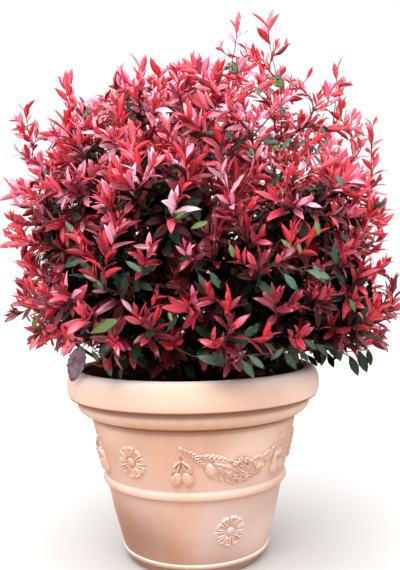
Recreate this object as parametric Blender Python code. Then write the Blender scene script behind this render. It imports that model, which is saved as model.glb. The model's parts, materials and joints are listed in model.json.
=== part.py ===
"""Potted photinia: a rolled-rim terracotta planter with garland ornament, its compost, and the shrub in it.

Metres, +Z up. The origin is the centre of the planter's flat underside, and the side that carries the
full garland faces -Y. Every bearing is measured in degrees from -Y, positive towards +X.
"""

import math
from dataclasses import dataclass

import bmesh
import bpy
from mathutils import Matrix, Vector, noise

GAP = 0.0003  # left between pieces that touch

# Planter
POT_SIDES = 44
FOOT_RADIUS = 0.2085
FOOT_TOP_RADIUS = 0.2220
FOOT_HEIGHT = 0.0260
BASE_RING = (0.2270, 0.0345, 0.0075)  # centre radius, centre height, half height
WALL_LOW = (0.2310, 0.0430)  # radius and height where the wall starts
WALL_BELOW_BAND = (0.2755, 0.2250)
WALL_ABOVE_BAND = (0.2842, 0.2650)
WALL_TOP = (0.3225, 0.4310)
BAND = (0.2780, 0.2455, 0.0125, 0.0190)  # centre radius and height, half width and half height
LOWER_ROLL = (0.3230, 0.4850, 0.0450, 0.0530)  # an ovolo: corner radius and height, width and height
RIM_ROLL = (0.3660, 0.5430, 0.0340, 0.0500)  # centre radius and height, half width and half height
RIM_SQUARENESS = 2.5
RIM_LIP = 0.0120  # rounding of the mouth's edge
COVE = (0.2980, 0.4700)  # where the flared mouth meets the inner wall
FLOOR_RADIUS = 0.2050
FLOOR_HEIGHT = 0.0350
DRAIN_RADIUS = 0.0110
DRAIN_RING = 0.1150
DRAIN_BEARING = 64.0
DRAIN_SIDES = 12

# Compost
SOIL_EDGE_HEIGHT = 0.5460
SOIL_TOP_HEIGHT = 0.5540
SOIL_FLAT_RADIUS = 0.1800

# Ornament, repeated round the wall
REPEAT_COUNT = 3
REPEAT = 360.0 / REPEAT_COUNT
SEAT = 0.0008  # how far its flat-sided back stands off the curve of the wall, to clear it
GARLAND_BEARING = 23.5
GARLAND_HALF_SPAN = 28.5
GARLAND_LOW = 0.3170
GARLAND_RISE = 0.0800
GARLAND_HALF_DEPTH = 0.0340
GARLAND_RELIEF = 0.0120
GARLAND_END_HALF_DEPTH = 0.0040
GARLAND_END_RELIEF = 0.0030
GARLAND_FULLNESS = 2.2  # power of the swelling between its ends
GARLAND_ROUNDNESS = 0.98  # 1 would bring the front down to the wall at both edges
GARLAND_STEPS = 14
GARLAND_ROWS = (-1.0, -0.5, 0.0, 0.5, 1.0)  # shares of the half depth at which the front is shaped
ROSETTE_RADIUS = 0.0500
ROSETTE_RELIEF = 0.0080
ROSETTE_PETALS = 10
ROSETTE_NOTCH = 0.10  # share of the radius lost between petals
ROSETTE_SHOULDER = 0.90  # share of the radius where the petals stand highest
ROSETTE_HOLLOW = (0.30, 0.35)  # shares of the radius and of the relief round the boss
UPPER_ROSETTE_HEIGHT = 0.3455
LOWER_ROSETTE_HEIGHT = 0.1400
PENDANT_TOP = 0.3920
PENDANT_LENGTH = 0.0920
PENDANT_HALF_WIDTH = 0.0320
PENDANT_RELIEF = 0.0110
PENDANT_POINTS = 16
PENDANT_CLEFT = 0.0100
PENDANT_WIDTHS = (0.62, 0.38)  # mean width and how much wider the foot is, as shares of the half width
PENDANT_SHOULDER = (0.75, 0.80)  # shares of the outline and of the relief
PENDANT_OFFSET = 30.5  # from the middle of the garland

# Shrub
STEM_FOOT_RADIUS = 0.0230
STEM_FLARE_RADIUS = 0.0340
STEM_FLARE_HEIGHT = 0.0500
STEM_TIP_RADIUS = 0.0090
STEM_BENDS = ((0.001, 0.0, 0.605), (0.016, 0.006, 0.900))
STEM_TIP = Vector((0.035, 0.010, 1.285))
LIMB_SIDES = 6
LIMB_STEPS = 3  # rings between two named points of a limb
BOUGH_BEND = 0.30  # share of the way to its mass at which a bough sags
BOUGH_END = 0.62  # share of the way to its mass at which it ends
CROWN_CENTRE = Vector((0.038, 0.0, 1.080))
CROWN_SPREAD = (1.10, 0.96)  # share of the ring radius taken across and in depth
LUMP_SIZE = 0.16
LUMP_DEPTH = 0.20
MASS_SEGMENTS = 11
MASS_RINGS = 8
SHOOT_SEGMENTS = 7
SHOOT_RINGS = 7


@dataclass(frozen=True)
class Tier:
    """A ring of foliage masses: how many, how far out, how high, where the first is, how big, how tilted."""

    name: str
    count: int
    ring: float
    height: float
    bearing: float
    half: tuple
    tilt: float


@dataclass(frozen=True)
class Shoot:
    """A slender spray that stands out of the crown, from its foot to its tip."""

    name: str
    foot: tuple
    tip: tuple
    width: float


@dataclass(frozen=True)
class Bough:
    """One tapering limb, through a few named points, from the stem to where it enters a mass."""

    name: str
    route: tuple
    base: float
    tip: float


@dataclass(frozen=True)
class Mass:
    """A foliage mass before it is fitted among its neighbours."""

    name: str
    centre: Vector
    half: Vector
    turn: Matrix
    segments: int
    rings: int


TIERS = (
    Tier("low", 6, 0.355, 0.835, 20.0, (0.255, 0.225, 0.225), 0.09),
    Tier("middle", 7, 0.360, 1.085, 38.0, (0.215, 0.215, 0.205), 0.0),
    Tier("upper", 6, 0.285, 1.305, 8.0, (0.230, 0.215, 0.170), 0.0),
)
CROWN_TOP = ((0.050, 0.020, 1.415), (0.240, 0.230, 0.150))
SHOOTS = (
    Shoot("top_leader", (0.190, -0.015, 1.390), (0.266, -0.030, 1.752), 0.052),
    Shoot("second_leader", (0.105, 0.060, 1.450), (0.135, 0.070, 1.745), 0.050),
    Shoot("right_leader", (0.425, 0.020, 1.340), (0.470, 0.030, 1.590), 0.065),
    Shoot("right_edge_shoot", (0.520, -0.060, 1.180), (0.575, -0.080, 1.405), 0.060),
    Shoot("left_leader", (-0.350, -0.040, 1.330), (-0.415, -0.050, 1.515), 0.070),
    Shoot("far_left_shoot", (-0.435, 0.015, 1.150), (-0.570, 0.030, 1.455), 0.062),
    Shoot("middle_left_shoot", (-0.150, 0.030, 1.400), (-0.160, 0.040, 1.580), 0.090),
    Shoot("back_leader", (0.020, 0.280, 1.360), (0.000, 0.320, 1.600), 0.070),
    Shoot("low_left_spray", (-0.375, -0.115, 0.730), (-0.520, -0.140, 0.700), 0.055),
    Shoot("low_right_spray", (0.460, -0.060, 0.690), (0.565, -0.075, 0.565), 0.055),
)
WHORLS = (  # tier, height on the stem, limb radii at base and tip, sag of the route, which of its masses
    ("low", 0.625, 0.0105, 0.0060, -0.020, (0, 2, 4)),
    ("middle", 0.690, 0.0115, 0.0065, -0.030, (0, 2, 5)),
    ("upper", 0.780, 0.0110, 0.0060, -0.040, (1, 3, 5)),
)
LOW_BOUGHS = (
    Bough(
        "low_left_bough",
        ((0.0, 0.0, 0.572), (-0.150, -0.085, 0.578), (-0.285, -0.112, 0.628), (-0.390, -0.124, 0.706)),
        0.0070,
        0.0040,
    ),
    Bough(
        "low_right_bough",
        ((0.0, 0.0, 0.585), (0.160, -0.040, 0.598), (0.300, -0.055, 0.625), (0.415, -0.062, 0.652)),
        0.0070,
        0.0040,
    ),
)

TERRACOTTA = ("terracotta", (0.80, 0.50, 0.36, 1.0), 0.85)
SOIL = ("soil", (0.06, 0.04, 0.03, 1.0), 0.95)
BARK = ("bark", (0.16, 0.09, 0.07, 1.0), 0.85)
FOLIAGE = ("foliage", (0.45, 0.03, 0.06, 1.0), 0.45)


# --- small helpers ---------------------------------------------------------------------------------


def clear_scene():
    """Remove every object of the scene."""
    for obj in list(bpy.data.objects):
        bpy.data.objects.remove(obj, do_unlink=True)


def material(finish):
    """A plain Principled material for a (name, colour, roughness) finish."""
    name, colour, roughness = finish
    found = bpy.data.materials.get(name)
    if found:
        return found
    made = bpy.data.materials.new(name)
    made.use_nodes = True
    shader = made.node_tree.nodes["Principled BSDF"]
    shader.inputs["Base Color"].default_value = colour
    shader.inputs["Roughness"].default_value = roughness
    made.diffuse_color = colour
    return made


def add_object(name, bm, finish, star_shaped=False):
    """Turn a bmesh into a named object of the scene. A star-shaped one already faces outwards."""
    if not star_shaped:
        bmesh.ops.recalc_face_normals(bm, faces=bm.faces[:])
    mesh = bpy.data.meshes.new(name)
    bm.to_mesh(mesh)
    bm.free()
    mesh.materials.append(material(finish))
    obj = bpy.data.objects.new(name, mesh)
    bpy.context.scene.collection.objects.link(obj)
    return obj


def cut(target, cutter, name):
    """Take the cutter away from the target, and hide the cutter."""
    modifier = target.modifiers.new(name, "BOOLEAN")
    modifier.operation = "DIFFERENCE"
    modifier.object = cutter
    cutter.hide_render = True
    cutter.display_type = "WIRE"


def on_bearing(bearing, radius, height):
    """The point at a bearing in degrees, a radius and a height."""
    angle = math.radians(bearing)
    return Vector((radius * math.sin(angle), -radius * math.cos(angle), height))


def blend(low, high, value):
    """Radius on the straight line between two (radius, height) points, at a height."""
    share = (value - low[1]) / (high[1] - low[1])
    return low[0] + share * (high[0] - low[0])


def lobe(centre, half, power, start, end, steps):
    """Points of a superellipse round a (radius, height) centre, from one angle to another in degrees."""
    points = []
    for step in range(steps + 1):
        angle = math.radians(start + (end - start) * step / steps)
        across, up = math.cos(angle), math.sin(angle)
        across = math.copysign(abs(across) ** (2 / power), across)
        up = math.copysign(abs(up) ** (2 / power), up)
        points.append((centre[0] + half[0] * across, centre[1] + half[1] * up))
    return points


def turned(profile, sides):
    """A closed bmesh turned about Z from (radius, height) points that start and end on the axis."""
    bm = bmesh.new()
    corners = [bm.verts.new((radius, 0.0, height)) for radius, height in profile]
    edges = [bm.edges.new(pair) for pair in zip(corners, corners[1:])]
    bmesh.ops.spin(
        bm,
        geom=corners + edges,
        cent=(0.0, 0.0, 0.0),
        axis=(0.0, 0.0, 1.0),
        angle=math.tau,
        steps=sides,
    )
    bmesh.ops.remove_doubles(bm, verts=bm.verts[:], dist=1e-5)
    return bm


# --- planter and compost ---------------------------------------------------------------------------


def wall_radius(height):
    """Outer radius of the plain wall at a height, without band, rolls and ornament."""
    if height < WALL_ABOVE_BAND[1]:
        return blend(WALL_LOW, WALL_BELOW_BAND, height)
    return blend(WALL_ABOVE_BAND, WALL_TOP, height)


def inner_radius(height):
    """Inner radius of the planter at a height below the mouth's rounded edge."""
    mouth = (RIM_ROLL[0] - RIM_LIP, RIM_ROLL[1] + RIM_ROLL[3] - RIM_LIP)
    if height > COVE[1]:
        return blend(COVE, mouth, height)
    return blend((FLOOR_RADIUS, FLOOR_HEIGHT), COVE, height)


def pot_profile():
    """Outline of the planter, from the middle of its floor, over the rim, to the middle of its underside."""
    rim_top = RIM_ROLL[1] + RIM_ROLL[3]
    inside = [(0.0, FLOOR_HEIGHT), (FLOOR_RADIUS, FLOOR_HEIGHT), COVE]
    lip = lobe((RIM_ROLL[0], rim_top - RIM_LIP), (RIM_LIP, RIM_LIP), 2.0, 180.0, 90.0, 2)
    roll = lobe(RIM_ROLL[:2], RIM_ROLL[2:], RIM_SQUARENESS, 90.0, -90.0, 8)
    ovolo = lobe(LOWER_ROLL[:2], LOWER_ROLL[2:], 2.0, 0.0, -90.0, 4)
    band = lobe(BAND[:2], BAND[2:], 2.0, 75.0, -80.0, 4)
    ring = lobe(BASE_RING[:2], (BASE_RING[2], BASE_RING[2]), 2.0, 70.0, -80.0, 3)
    foot = [(FOOT_TOP_RADIUS, FOOT_HEIGHT), (FOOT_RADIUS, 0.0), (0.0, 0.0)]
    wall_top = [WALL_ABOVE_BAND]
    return inside + lip + roll[1:] + ovolo + wall_top + band + [WALL_BELOW_BAND, WALL_LOW] + ring + foot


def make_pot():
    """The planter, open at the top, with drain holes in its floor."""
    pot = add_object("pot", turned(pot_profile(), POT_SIDES), TERRACOTTA)
    for index in range(REPEAT_COUNT):
        bm = bmesh.new()
        place = on_bearing(DRAIN_BEARING + REPEAT * index, DRAIN_RING, FLOOR_HEIGHT / 2)
        bmesh.ops.create_cone(
            bm,
            cap_ends=True,
            segments=DRAIN_SIDES,
            radius1=DRAIN_RADIUS,
            radius2=DRAIN_RADIUS,
            depth=2 * FLOOR_HEIGHT,
            matrix=Matrix.Translation(place),
        )
        cut(pot, add_object(f"drain_cutter_{index}", bm, TERRACOTTA), f"drain {index}")


def make_soil():
    """The compost that fills the planter to just under its mouth."""
    side = 1.5 * GAP
    foot = FLOOR_HEIGHT + GAP
    profile = [
        (0.0, foot),
        (FLOOR_RADIUS - side, foot),
        (COVE[0] - side, COVE[1]),
        (inner_radius(SOIL_EDGE_HEIGHT) - side, SOIL_EDGE_HEIGHT),
        (SOIL_FLAT_RADIUS, SOIL_TOP_HEIGHT),
        (0.0, SOIL_TOP_HEIGHT),
    ]
    add_object("soil", turned(profile, POT_SIDES), SOIL)


# --- ornament --------------------------------------------------------------------------------------


def on_wall(bearing, height, lift):
    """A point that stands a given lift off the seat of the ornament on the wall."""
    return on_bearing(bearing, wall_radius(height) + SEAT + lift, height)


def across_wall(bearing, height, along, up, lift):
    """A point on the wall, a few centimetres along and up from a bearing and height."""
    level = height + up
    return on_wall(bearing + math.degrees(along / wall_radius(level)), level, lift)


def shell(name, loops):
    """A closed relief from loops of equal length, between a single point at each end."""
    bm = bmesh.new()
    rings = [[bm.verts.new(point) for point in loop] for loop in loops[1:-1]]
    hub, peak = bm.verts.new(loops[0]), bm.verts.new(loops[-1])
    count = len(rings[0])
    for outer, inner in zip(rings, rings[1:]):
        for side in range(count):
            after = (side + 1) % count
            bm.faces.new((outer[side], outer[after], inner[after], inner[side]))
    for side in range(count):
        after = (side + 1) % count
        bm.faces.new((rings[-1][side], rings[-1][after], peak))
        bm.faces.new((rings[0][after], rings[0][side], hub))
    add_object(name, bm, TERRACOTTA)


def make_rosette(name, bearing, height):
    """A round flower of broad petals with a boss in its middle."""

    def loop(share, lift, dip):
        points = []
        for step in range(2 * ROSETTE_PETALS):
            angle = math.tau * step / (2 * ROSETTE_PETALS)
            between = step % 2
            reach = ROSETTE_RADIUS * share * (1.0 - dip * between)
            along, up = reach * math.cos(angle), reach * math.sin(angle)
            points.append(across_wall(bearing, height, along, up, lift * (1.0 - 0.5 * between)))
        return points

    hub = across_wall(bearing, height, 0.0, 0.0, 0.0)
    peak = across_wall(bearing, height, 0.0, 0.0, ROSETTE_RELIEF)
    back = [hub, loop(0.5, 0.0, 0.0), loop(1.0, 0.0, ROSETTE_NOTCH)]
    hollow, depth = ROSETTE_HOLLOW
    crest = loop(ROSETTE_SHOULDER, ROSETTE_RELIEF, 0.8 * ROSETTE_NOTCH)
    shell(name, back + [crest, loop(hollow, depth * ROSETTE_RELIEF, 0.0), peak])


def make_pendant(name, bearing):
    """A pair of fruits that hangs under two leaves."""
    middle = PENDANT_TOP - PENDANT_LENGTH / 2
    mean, swell = PENDANT_WIDTHS

    def loop(share, lift):
        points = []
        for step in range(PENDANT_POINTS):
            angle = math.tau * step / PENDANT_POINTS
            up = 0.5 * PENDANT_LENGTH * math.cos(angle)
            width = PENDANT_HALF_WIDTH * (mean - swell * math.cos(angle))
            cleft = PENDANT_CLEFT if 2 * step == PENDANT_POINTS else 0.0
            along = width * math.sin(angle)
            points.append(across_wall(bearing, middle, along * share, (up + cleft) * share, lift))
        return points

    hub = across_wall(bearing, middle, 0.0, 0.0, 0.0)
    peak = across_wall(bearing, middle, 0.0, 0.0, PENDANT_RELIEF)
    inset, lift = PENDANT_SHOULDER
    shell(name, [hub, loop(1.0, 0.0), loop(inset, lift * PENDANT_RELIEF), peak])


def make_garland(name, bearing):
    """A garland of leaves and fruit that hangs between two studs."""
    spans = GARLAND_ROWS
    bm = bmesh.new()
    rows, backs = [], []
    for step in range(GARLAND_STEPS + 1):
        share = 2.0 * step / GARLAND_STEPS - 1.0
        place = bearing + GARLAND_HALF_SPAN * share
        level = GARLAND_LOW + GARLAND_RISE * share * share
        fullness = 1.0 - abs(share) ** GARLAND_FULLNESS
        depth = GARLAND_END_HALF_DEPTH + GARLAND_HALF_DEPTH * fullness
        relief = GARLAND_END_RELIEF + GARLAND_RELIEF * fullness
        lifts = [relief * math.sqrt(1.0 - GARLAND_ROUNDNESS * span * span) for span in spans]
        rows.append([bm.verts.new(on_wall(place, level + depth * s, l)) for s, l in zip(spans, lifts)])
        backs.append([bm.verts.new(on_wall(place, level + depth * s, 0.0)) for s in (-1.0, 1.0)])
    for now, then, back, last in zip(rows, rows[1:], backs, backs[1:]):
        for side in range(len(spans) - 1):
            bm.faces.new((now[side], then[side], then[side + 1], now[side + 1]))
        bm.faces.new((back[0], last[0], then[0], now[0]))
        bm.faces.new((now[-1], then[-1], last[1], back[1]))
        bm.faces.new((back[0], back[1], last[1], last[0]))
    for row, back in ((rows[0], backs[0]), (rows[-1], backs[-1])):
        bm.faces.new([back[0], *row, back[1]])
    add_object(name, bm, TERRACOTTA)


def make_ornament():
    """Garlands, rosettes and hanging fruit, repeated round the wall."""
    for index in range(REPEAT_COUNT):
        garland = GARLAND_BEARING + REPEAT * index
        rosette = garland - REPEAT / 2
        make_garland(f"garland_{index}", garland)
        make_rosette(f"upper_rosette_{index}", rosette, UPPER_ROSETTE_HEIGHT)
        make_rosette(f"lower_rosette_{index}", garland, LOWER_ROSETTE_HEIGHT)
        make_pendant(f"pendant_left_{index}", garland - PENDANT_OFFSET)
        make_pendant(f"pendant_right_{index}", garland + PENDANT_OFFSET)


# --- stem and boughs -------------------------------------------------------------------------------


def smooth_route(points):
    """Evenly stepped points along a curve through the given points."""
    knots = [points[0]] + list(points) + [points[-1]]
    route = []
    spans = len(points) - 1
    for index in range(spans):
        a, b, c, d = knots[index : index + 4]
        for step in range(LIMB_STEPS + (index == spans - 1)):
            t = step / LIMB_STEPS
            place = 0.5 * (
                2 * b + (c - a) * t + (2 * a - 5 * b + 4 * c - d) * t**2 + (3 * b - a - 3 * c + d) * t**3
            )
            route.append(place)
    return route


def limb_mesh(route, radii, upright=False):
    """A round limb along a route, and its rings of points. An upright one starts from a level cut."""
    bm = bmesh.new()
    rings = []
    side = Vector((0.0, 1.0, 0.0))
    for index, (place, radius) in enumerate(zip(route, radii)):
        ahead = (route[min(index + 1, len(route) - 1)] - route[max(index - 1, 0)]).normalized()
        if upright and index == 0:
            ahead = Vector((0.0, 0.0, 1.0))
        side = (side - ahead * side.dot(ahead)).normalized()
        other = ahead.cross(side)
        ring = []
        for step in range(LIMB_SIDES):
            angle = math.tau * step / LIMB_SIDES
            ring.append(place + radius * (math.cos(angle) * side + math.sin(angle) * other))
        rings.append(ring)
    loops = [[bm.verts.new(point) for point in ring] for ring in rings]
    for low, high in zip(loops, loops[1:]):
        for step in range(LIMB_SIDES):
            after = (step + 1) % LIMB_SIDES
            bm.faces.new((low[step], low[after], high[after], high[step]))
    bm.faces.new(loops[0][::-1])
    bm.faces.new(loops[-1])
    return bm, rings


def stem_route():
    """Points and radii of the main stem, from its flat foot to its tip."""
    foot = Vector((0.0, 0.0, SOIL_TOP_HEIGHT + GAP))
    bends = [foot, *(Vector(bend) for bend in STEM_BENDS), STEM_TIP]
    route = smooth_route(bends)
    radii = []
    for place in route:
        rise = place.z - foot.z
        share = rise / (STEM_TIP.z - foot.z)
        flare = max(0.0, 1.0 - rise / STEM_FLARE_HEIGHT) ** 2 * (STEM_FLARE_RADIUS - STEM_FOOT_RADIUS)
        radii.append(STEM_FOOT_RADIUS + (STEM_TIP_RADIUS - STEM_FOOT_RADIUS) * share + flare)
    return route, radii


def make_limbs(masses):
    """The main stem and the boughs. Returns every limb as its rings of points."""
    route, radii = stem_route()
    bm, rings = limb_mesh(route, radii, upright=True)
    add_object("main_stem", bm, BARK)
    below = route[0] - Vector((0.0, 0.0, STEM_FLARE_HEIGHT))
    clearance, _ = limb_mesh([below] + route, [radius + GAP for radius in radii[:1] + radii], upright=True)
    cutter = add_object("stem_cutter", clearance, BARK)
    limbs = [rings]
    for bough in whorl_boughs(masses) + list(LOW_BOUGHS):
        points = smooth_route([Vector(point) for point in bough.route])
        taper = [bough.base + (bough.tip - bough.base) * i / (len(points) - 1) for i in range(len(points))]
        bm, rings = limb_mesh(points, taper)
        cut(add_object(bough.name, bm, BARK), cutter, "seat on the stem")
        limbs.append(rings)
    return limbs


def whorl_boughs(masses):
    """Boughs that leave the stem at a tier's height and end short of that tier's masses."""
    boughs = []
    stem, _ = stem_route()
    for tier, height, base, tip, sag, chosen in WHORLS:
        root = min(stem, key=lambda place: abs(place.z - height)).copy()
        root.z = height
        for mass in [mass for mass in masses if mass.name in [f"{tier}_mass_{i}" for i in chosen]]:
            aim = mass.centre - root
            end = root + aim * BOUGH_END
            bend = root + aim * BOUGH_BEND + Vector((0.0, 0.0, sag))
            boughs.append(Bough(mass.name.replace("mass", "bough"), (root, bend, end), base, tip))
    return boughs


# --- foliage ---------------------------------------------------------------------------------------


def crown_masses():
    """The masses of the crown and its shoots, placed by tier."""
    masses = []
    for tier in TIERS:
        for index in range(tier.count):
            bearing = tier.bearing + 360.0 * index / tier.count
            offset = on_bearing(bearing, tier.ring, 0.0)
            centre = CROWN_CENTRE + Vector((offset.x * CROWN_SPREAD[0], offset.y * CROWN_SPREAD[1], 0.0))
            centre.z = tier.height - tier.tilt * centre.x
            turn = Matrix.Rotation(math.radians(bearing), 3, "Z")
            name = f"{tier.name}_mass_{index}"
            masses.append(Mass(name, centre, Vector(tier.half), turn, MASS_SEGMENTS, MASS_RINGS))
    top, half = CROWN_TOP
    masses.append(Mass("crown_top", Vector(top), Vector(half), Matrix.Identity(3), MASS_SEGMENTS, MASS_RINGS))
    for shoot in SHOOTS:
        foot, tip = Vector(shoot.foot), Vector(shoot.tip)
        half = Vector((shoot.width, shoot.width, (tip - foot).length / 2))
        turn = (tip - foot).to_track_quat("Z", "Y").to_matrix()
        middle = (foot + tip) / 2
        masses.append(Mass(shoot.name, middle, half, turn, SHOOT_SEGMENTS, SHOOT_RINGS))
    return masses


def reach_of(mass, way):
    """Distance from a mass's centre to its own uneven surface, in one direction."""
    local = mass.turn.transposed() @ way
    plain = 1.0 / math.sqrt(sum((local[axis] / mass.half[axis]) ** 2 for axis in range(3)))
    lump = noise.noise((mass.centre + way * plain) / LUMP_SIZE)
    return plain * (1.0 + LUMP_DEPTH * lump)


def extent_of(mass, way):
    """How far a mass can reach along a direction, measured from its centre."""
    local = mass.turn.transposed() @ way
    plain = math.sqrt(sum((local[axis] * mass.half[axis]) ** 2 for axis in range(3)))
    return plain * (1.0 + LUMP_DEPTH)


def walls_of(mass, masses, limbs):
    """Planes that keep a mass clear of its neighbours, the limbs and the planter."""
    walls = []
    for other in masses:
        if other is mass:
            continue
        apart = other.centre - mass.centre
        distance = apart.length
        way = apart / distance
        own, theirs = extent_of(mass, way), extent_of(other, way)
        if own + theirs > distance:
            walls.append((way, distance * own / (own + theirs) - GAP / 2))
    for rings in limbs:
        for low, high in zip(rings, rings[1:]):
            points = low + high
            start, end = sum(low, Vector()) / len(low), sum(high, Vector()) / len(high)
            share = max(0.0, min(1.0, (mass.centre - start).dot(end - start) / (end - start).length_squared))
            way = (start + (end - start) * share - mass.centre).normalized()
            walls.append((way, min((point - mass.centre).dot(way) for point in points) - GAP))
    outward = Vector((mass.centre.x, mass.centre.y, 0.0))
    past_rim = outward.length - RIM_ROLL[0] - RIM_ROLL[2]
    above_rim = mass.centre.z - RIM_ROLL[1] - RIM_ROLL[3]
    if past_rim > above_rim:
        walls.append((-outward.normalized(), past_rim - GAP))
    else:
        walls.append((Vector((0.0, 0.0, -1.0)), above_rim - GAP))
    return walls


def make_mass(mass, masses, limbs):
    """One closed, uneven mass of foliage, fitted among its neighbours."""
    walls = walls_of(mass, masses, limbs)
    bm = bmesh.new()
    bmesh.ops.create_uvsphere(bm, u_segments=mass.segments, v_segments=mass.rings, radius=1.0)
    for vert in bm.verts:
        way = (mass.turn @ vert.co).normalized()
        reach = reach_of(mass, way)
        for normal, offset in walls:
            facing = way.dot(normal)
            if facing > 1e-6:
                reach = min(reach, offset / facing)
        vert.co = mass.centre + way * reach
    add_object(mass.name, bm, FOLIAGE, star_shaped=True)


def main():
    """Build the planter, its ornament and compost, then the shrub."""
    clear_scene()
    make_pot()
    make_soil()
    make_ornament()
    masses = crown_masses()
    limbs = make_limbs(masses)
    for mass in masses:
        make_mass(mass, masses, limbs)


main()
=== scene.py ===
"""Looks of the potted photinia: planter with garland relief, compost, bark, twigs and leaves.

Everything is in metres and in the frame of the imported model: +Z up, the origin under the middle of the
planter, and bearings in degrees from -Y, positive towards +X.
"""

from __future__ import annotations

import sys

import json
import logging
import math
from collections.abc import Callable, Iterable, Sequence
from dataclasses import dataclass, field
from enum import Enum

import bpy
import numpy as np
from mathutils import Matrix, Vector, noise
from mathutils.bvhtree import BVHTree

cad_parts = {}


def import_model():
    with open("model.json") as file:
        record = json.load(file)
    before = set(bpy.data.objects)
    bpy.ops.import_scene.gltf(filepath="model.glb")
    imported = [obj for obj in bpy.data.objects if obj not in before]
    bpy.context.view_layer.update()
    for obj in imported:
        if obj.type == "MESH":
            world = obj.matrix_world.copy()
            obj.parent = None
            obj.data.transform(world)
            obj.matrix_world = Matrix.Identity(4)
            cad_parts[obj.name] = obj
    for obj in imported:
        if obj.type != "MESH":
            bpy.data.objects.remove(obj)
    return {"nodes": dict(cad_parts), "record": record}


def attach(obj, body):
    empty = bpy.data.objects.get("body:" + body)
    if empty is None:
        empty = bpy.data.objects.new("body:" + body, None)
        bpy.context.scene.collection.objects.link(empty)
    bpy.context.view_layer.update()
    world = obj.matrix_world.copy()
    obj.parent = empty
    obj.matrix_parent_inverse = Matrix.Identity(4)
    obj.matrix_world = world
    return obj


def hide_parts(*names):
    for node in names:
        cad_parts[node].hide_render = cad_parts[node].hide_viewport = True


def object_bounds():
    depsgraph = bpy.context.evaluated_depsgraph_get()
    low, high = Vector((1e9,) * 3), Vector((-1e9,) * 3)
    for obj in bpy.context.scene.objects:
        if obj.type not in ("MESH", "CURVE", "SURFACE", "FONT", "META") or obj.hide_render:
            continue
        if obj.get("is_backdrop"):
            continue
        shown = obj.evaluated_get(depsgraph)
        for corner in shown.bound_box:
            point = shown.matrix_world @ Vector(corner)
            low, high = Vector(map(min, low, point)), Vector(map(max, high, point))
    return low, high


LOG = logging.getLogger("photinia")
BODY = "root"
UP = np.array((0.0, 0.0, 1.0))
Pair = tuple[float, float]
Triple = tuple[float, float, float]
Colour = Triple
Stops = tuple[Pair, ...]
Array = np.ndarray
Piece = bpy.types.Object
Finish = bpy.types.Material
Socket = bpy.types.NodeSocket


# --- small tools -----------------------------------------------------------------------------------


def unit(vector: Array) -> Array:
    """A vector, or each row of an array, scaled to length one."""
    return vector / np.maximum(np.linalg.norm(vector, axis=-1, keepdims=True), 1e-12)


def smoothstep(low: float, high: float, value: Array) -> Array:
    """A soft step from 0 at low to 1 at high."""
    share = np.clip((value - low) / (high - low), 0.0, 1.0)
    return share * share * (3.0 - 2.0 * share)


def bell(value: Array, width: float) -> Array:
    """A smooth bump of height one round zero."""
    return np.exp(-((value / width) ** 2))


def on_bearing(bearing: float, radius: float, height: float) -> Array:
    """The point at a bearing in degrees, a radius and a height."""
    angle = math.radians(bearing)
    return np.array((radius * math.sin(angle), -radius * math.cos(angle), height))


def fresh() -> None:
    """Leave edit mode and deselect every object."""
    if bpy.context.mode != "OBJECT":
        bpy.ops.object.mode_set(mode="OBJECT")
    bpy.ops.object.select_all(action="DESELECT")


def points_of(obj: Piece) -> Array:
    """The vertices of an object's mesh, one row each."""
    found = np.empty(3 * len(obj.data.vertices), np.float32)
    obj.data.vertices.foreach_get("co", found)
    return found.reshape(-1, 3).astype(float)


def move_points(obj: Piece, places: Array) -> None:
    """Put the vertices of an object's mesh at new places."""
    obj.data.vertices.foreach_set("co", places.astype(np.float32).ravel())
    obj.data.update()


def turned(name: str, outline: Sequence[Pair], steps: int) -> Piece:
    """Turn an outline about the vertical axis.

    Args:
        name: name of the new object.
        outline: (radius, height) points, from one place on the axis to another.
        steps: number of sides of the turned body.

    Returns:
        The closed, outward-facing object.
    """
    fresh()
    bpy.ops.mesh.primitive_plane_add(size=0.01, location=(0.0, 0.0, 0.0))
    obj = bpy.context.active_object
    obj.name = name
    bpy.ops.object.mode_set(mode="EDIT")
    bpy.ops.mesh.select_mode(type="VERT")
    bpy.ops.mesh.select_all(action="SELECT")
    bpy.ops.mesh.merge(type="CENTER")
    bpy.ops.transform.translate(value=(outline[0][0], 0.0, outline[0][1]))
    for (radius, height), (after, above) in zip(outline, outline[1:]):
        step = (after - radius, 0.0, above - height)
        bpy.ops.mesh.extrude_region_move(TRANSFORM_OT_translate={"value": step})
    bpy.ops.mesh.select_all(action="SELECT")
    bpy.ops.mesh.spin(steps=steps, angle=math.tau, center=(0.0, 0.0, 0.0), axis=(0.0, 0.0, 1.0))
    bpy.ops.mesh.select_all(action="SELECT")
    bpy.ops.mesh.remove_doubles(threshold=1e-5)
    bpy.ops.mesh.normals_make_consistent(inside=False)
    bpy.ops.object.mode_set(mode="OBJECT")
    return obj


def arc(
    centre: Pair, half: Pair, power: float, start: float, end: float, steps: int
) -> list[Pair]:
    """Points of a superellipse round a (radius, height) centre, between two angles in degrees."""
    found = []
    for angle in np.radians(np.linspace(start, end, steps + 1)):
        across = math.copysign(abs(math.cos(angle)) ** (2.0 / power), math.cos(angle))
        up = math.copysign(abs(math.sin(angle)) ** (2.0 / power), math.sin(angle))
        found.append((centre[0] + half[0] * across, centre[1] + half[1] * up))
    return found


def through(points: Sequence[Pair], steps: int) -> list[Pair]:
    """A smooth line through plane points, with a number of steps between two of them."""
    return [tuple(place) for place in smooth_route([(*point, 0.0) for point in points], steps)[:, :2]]


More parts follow.
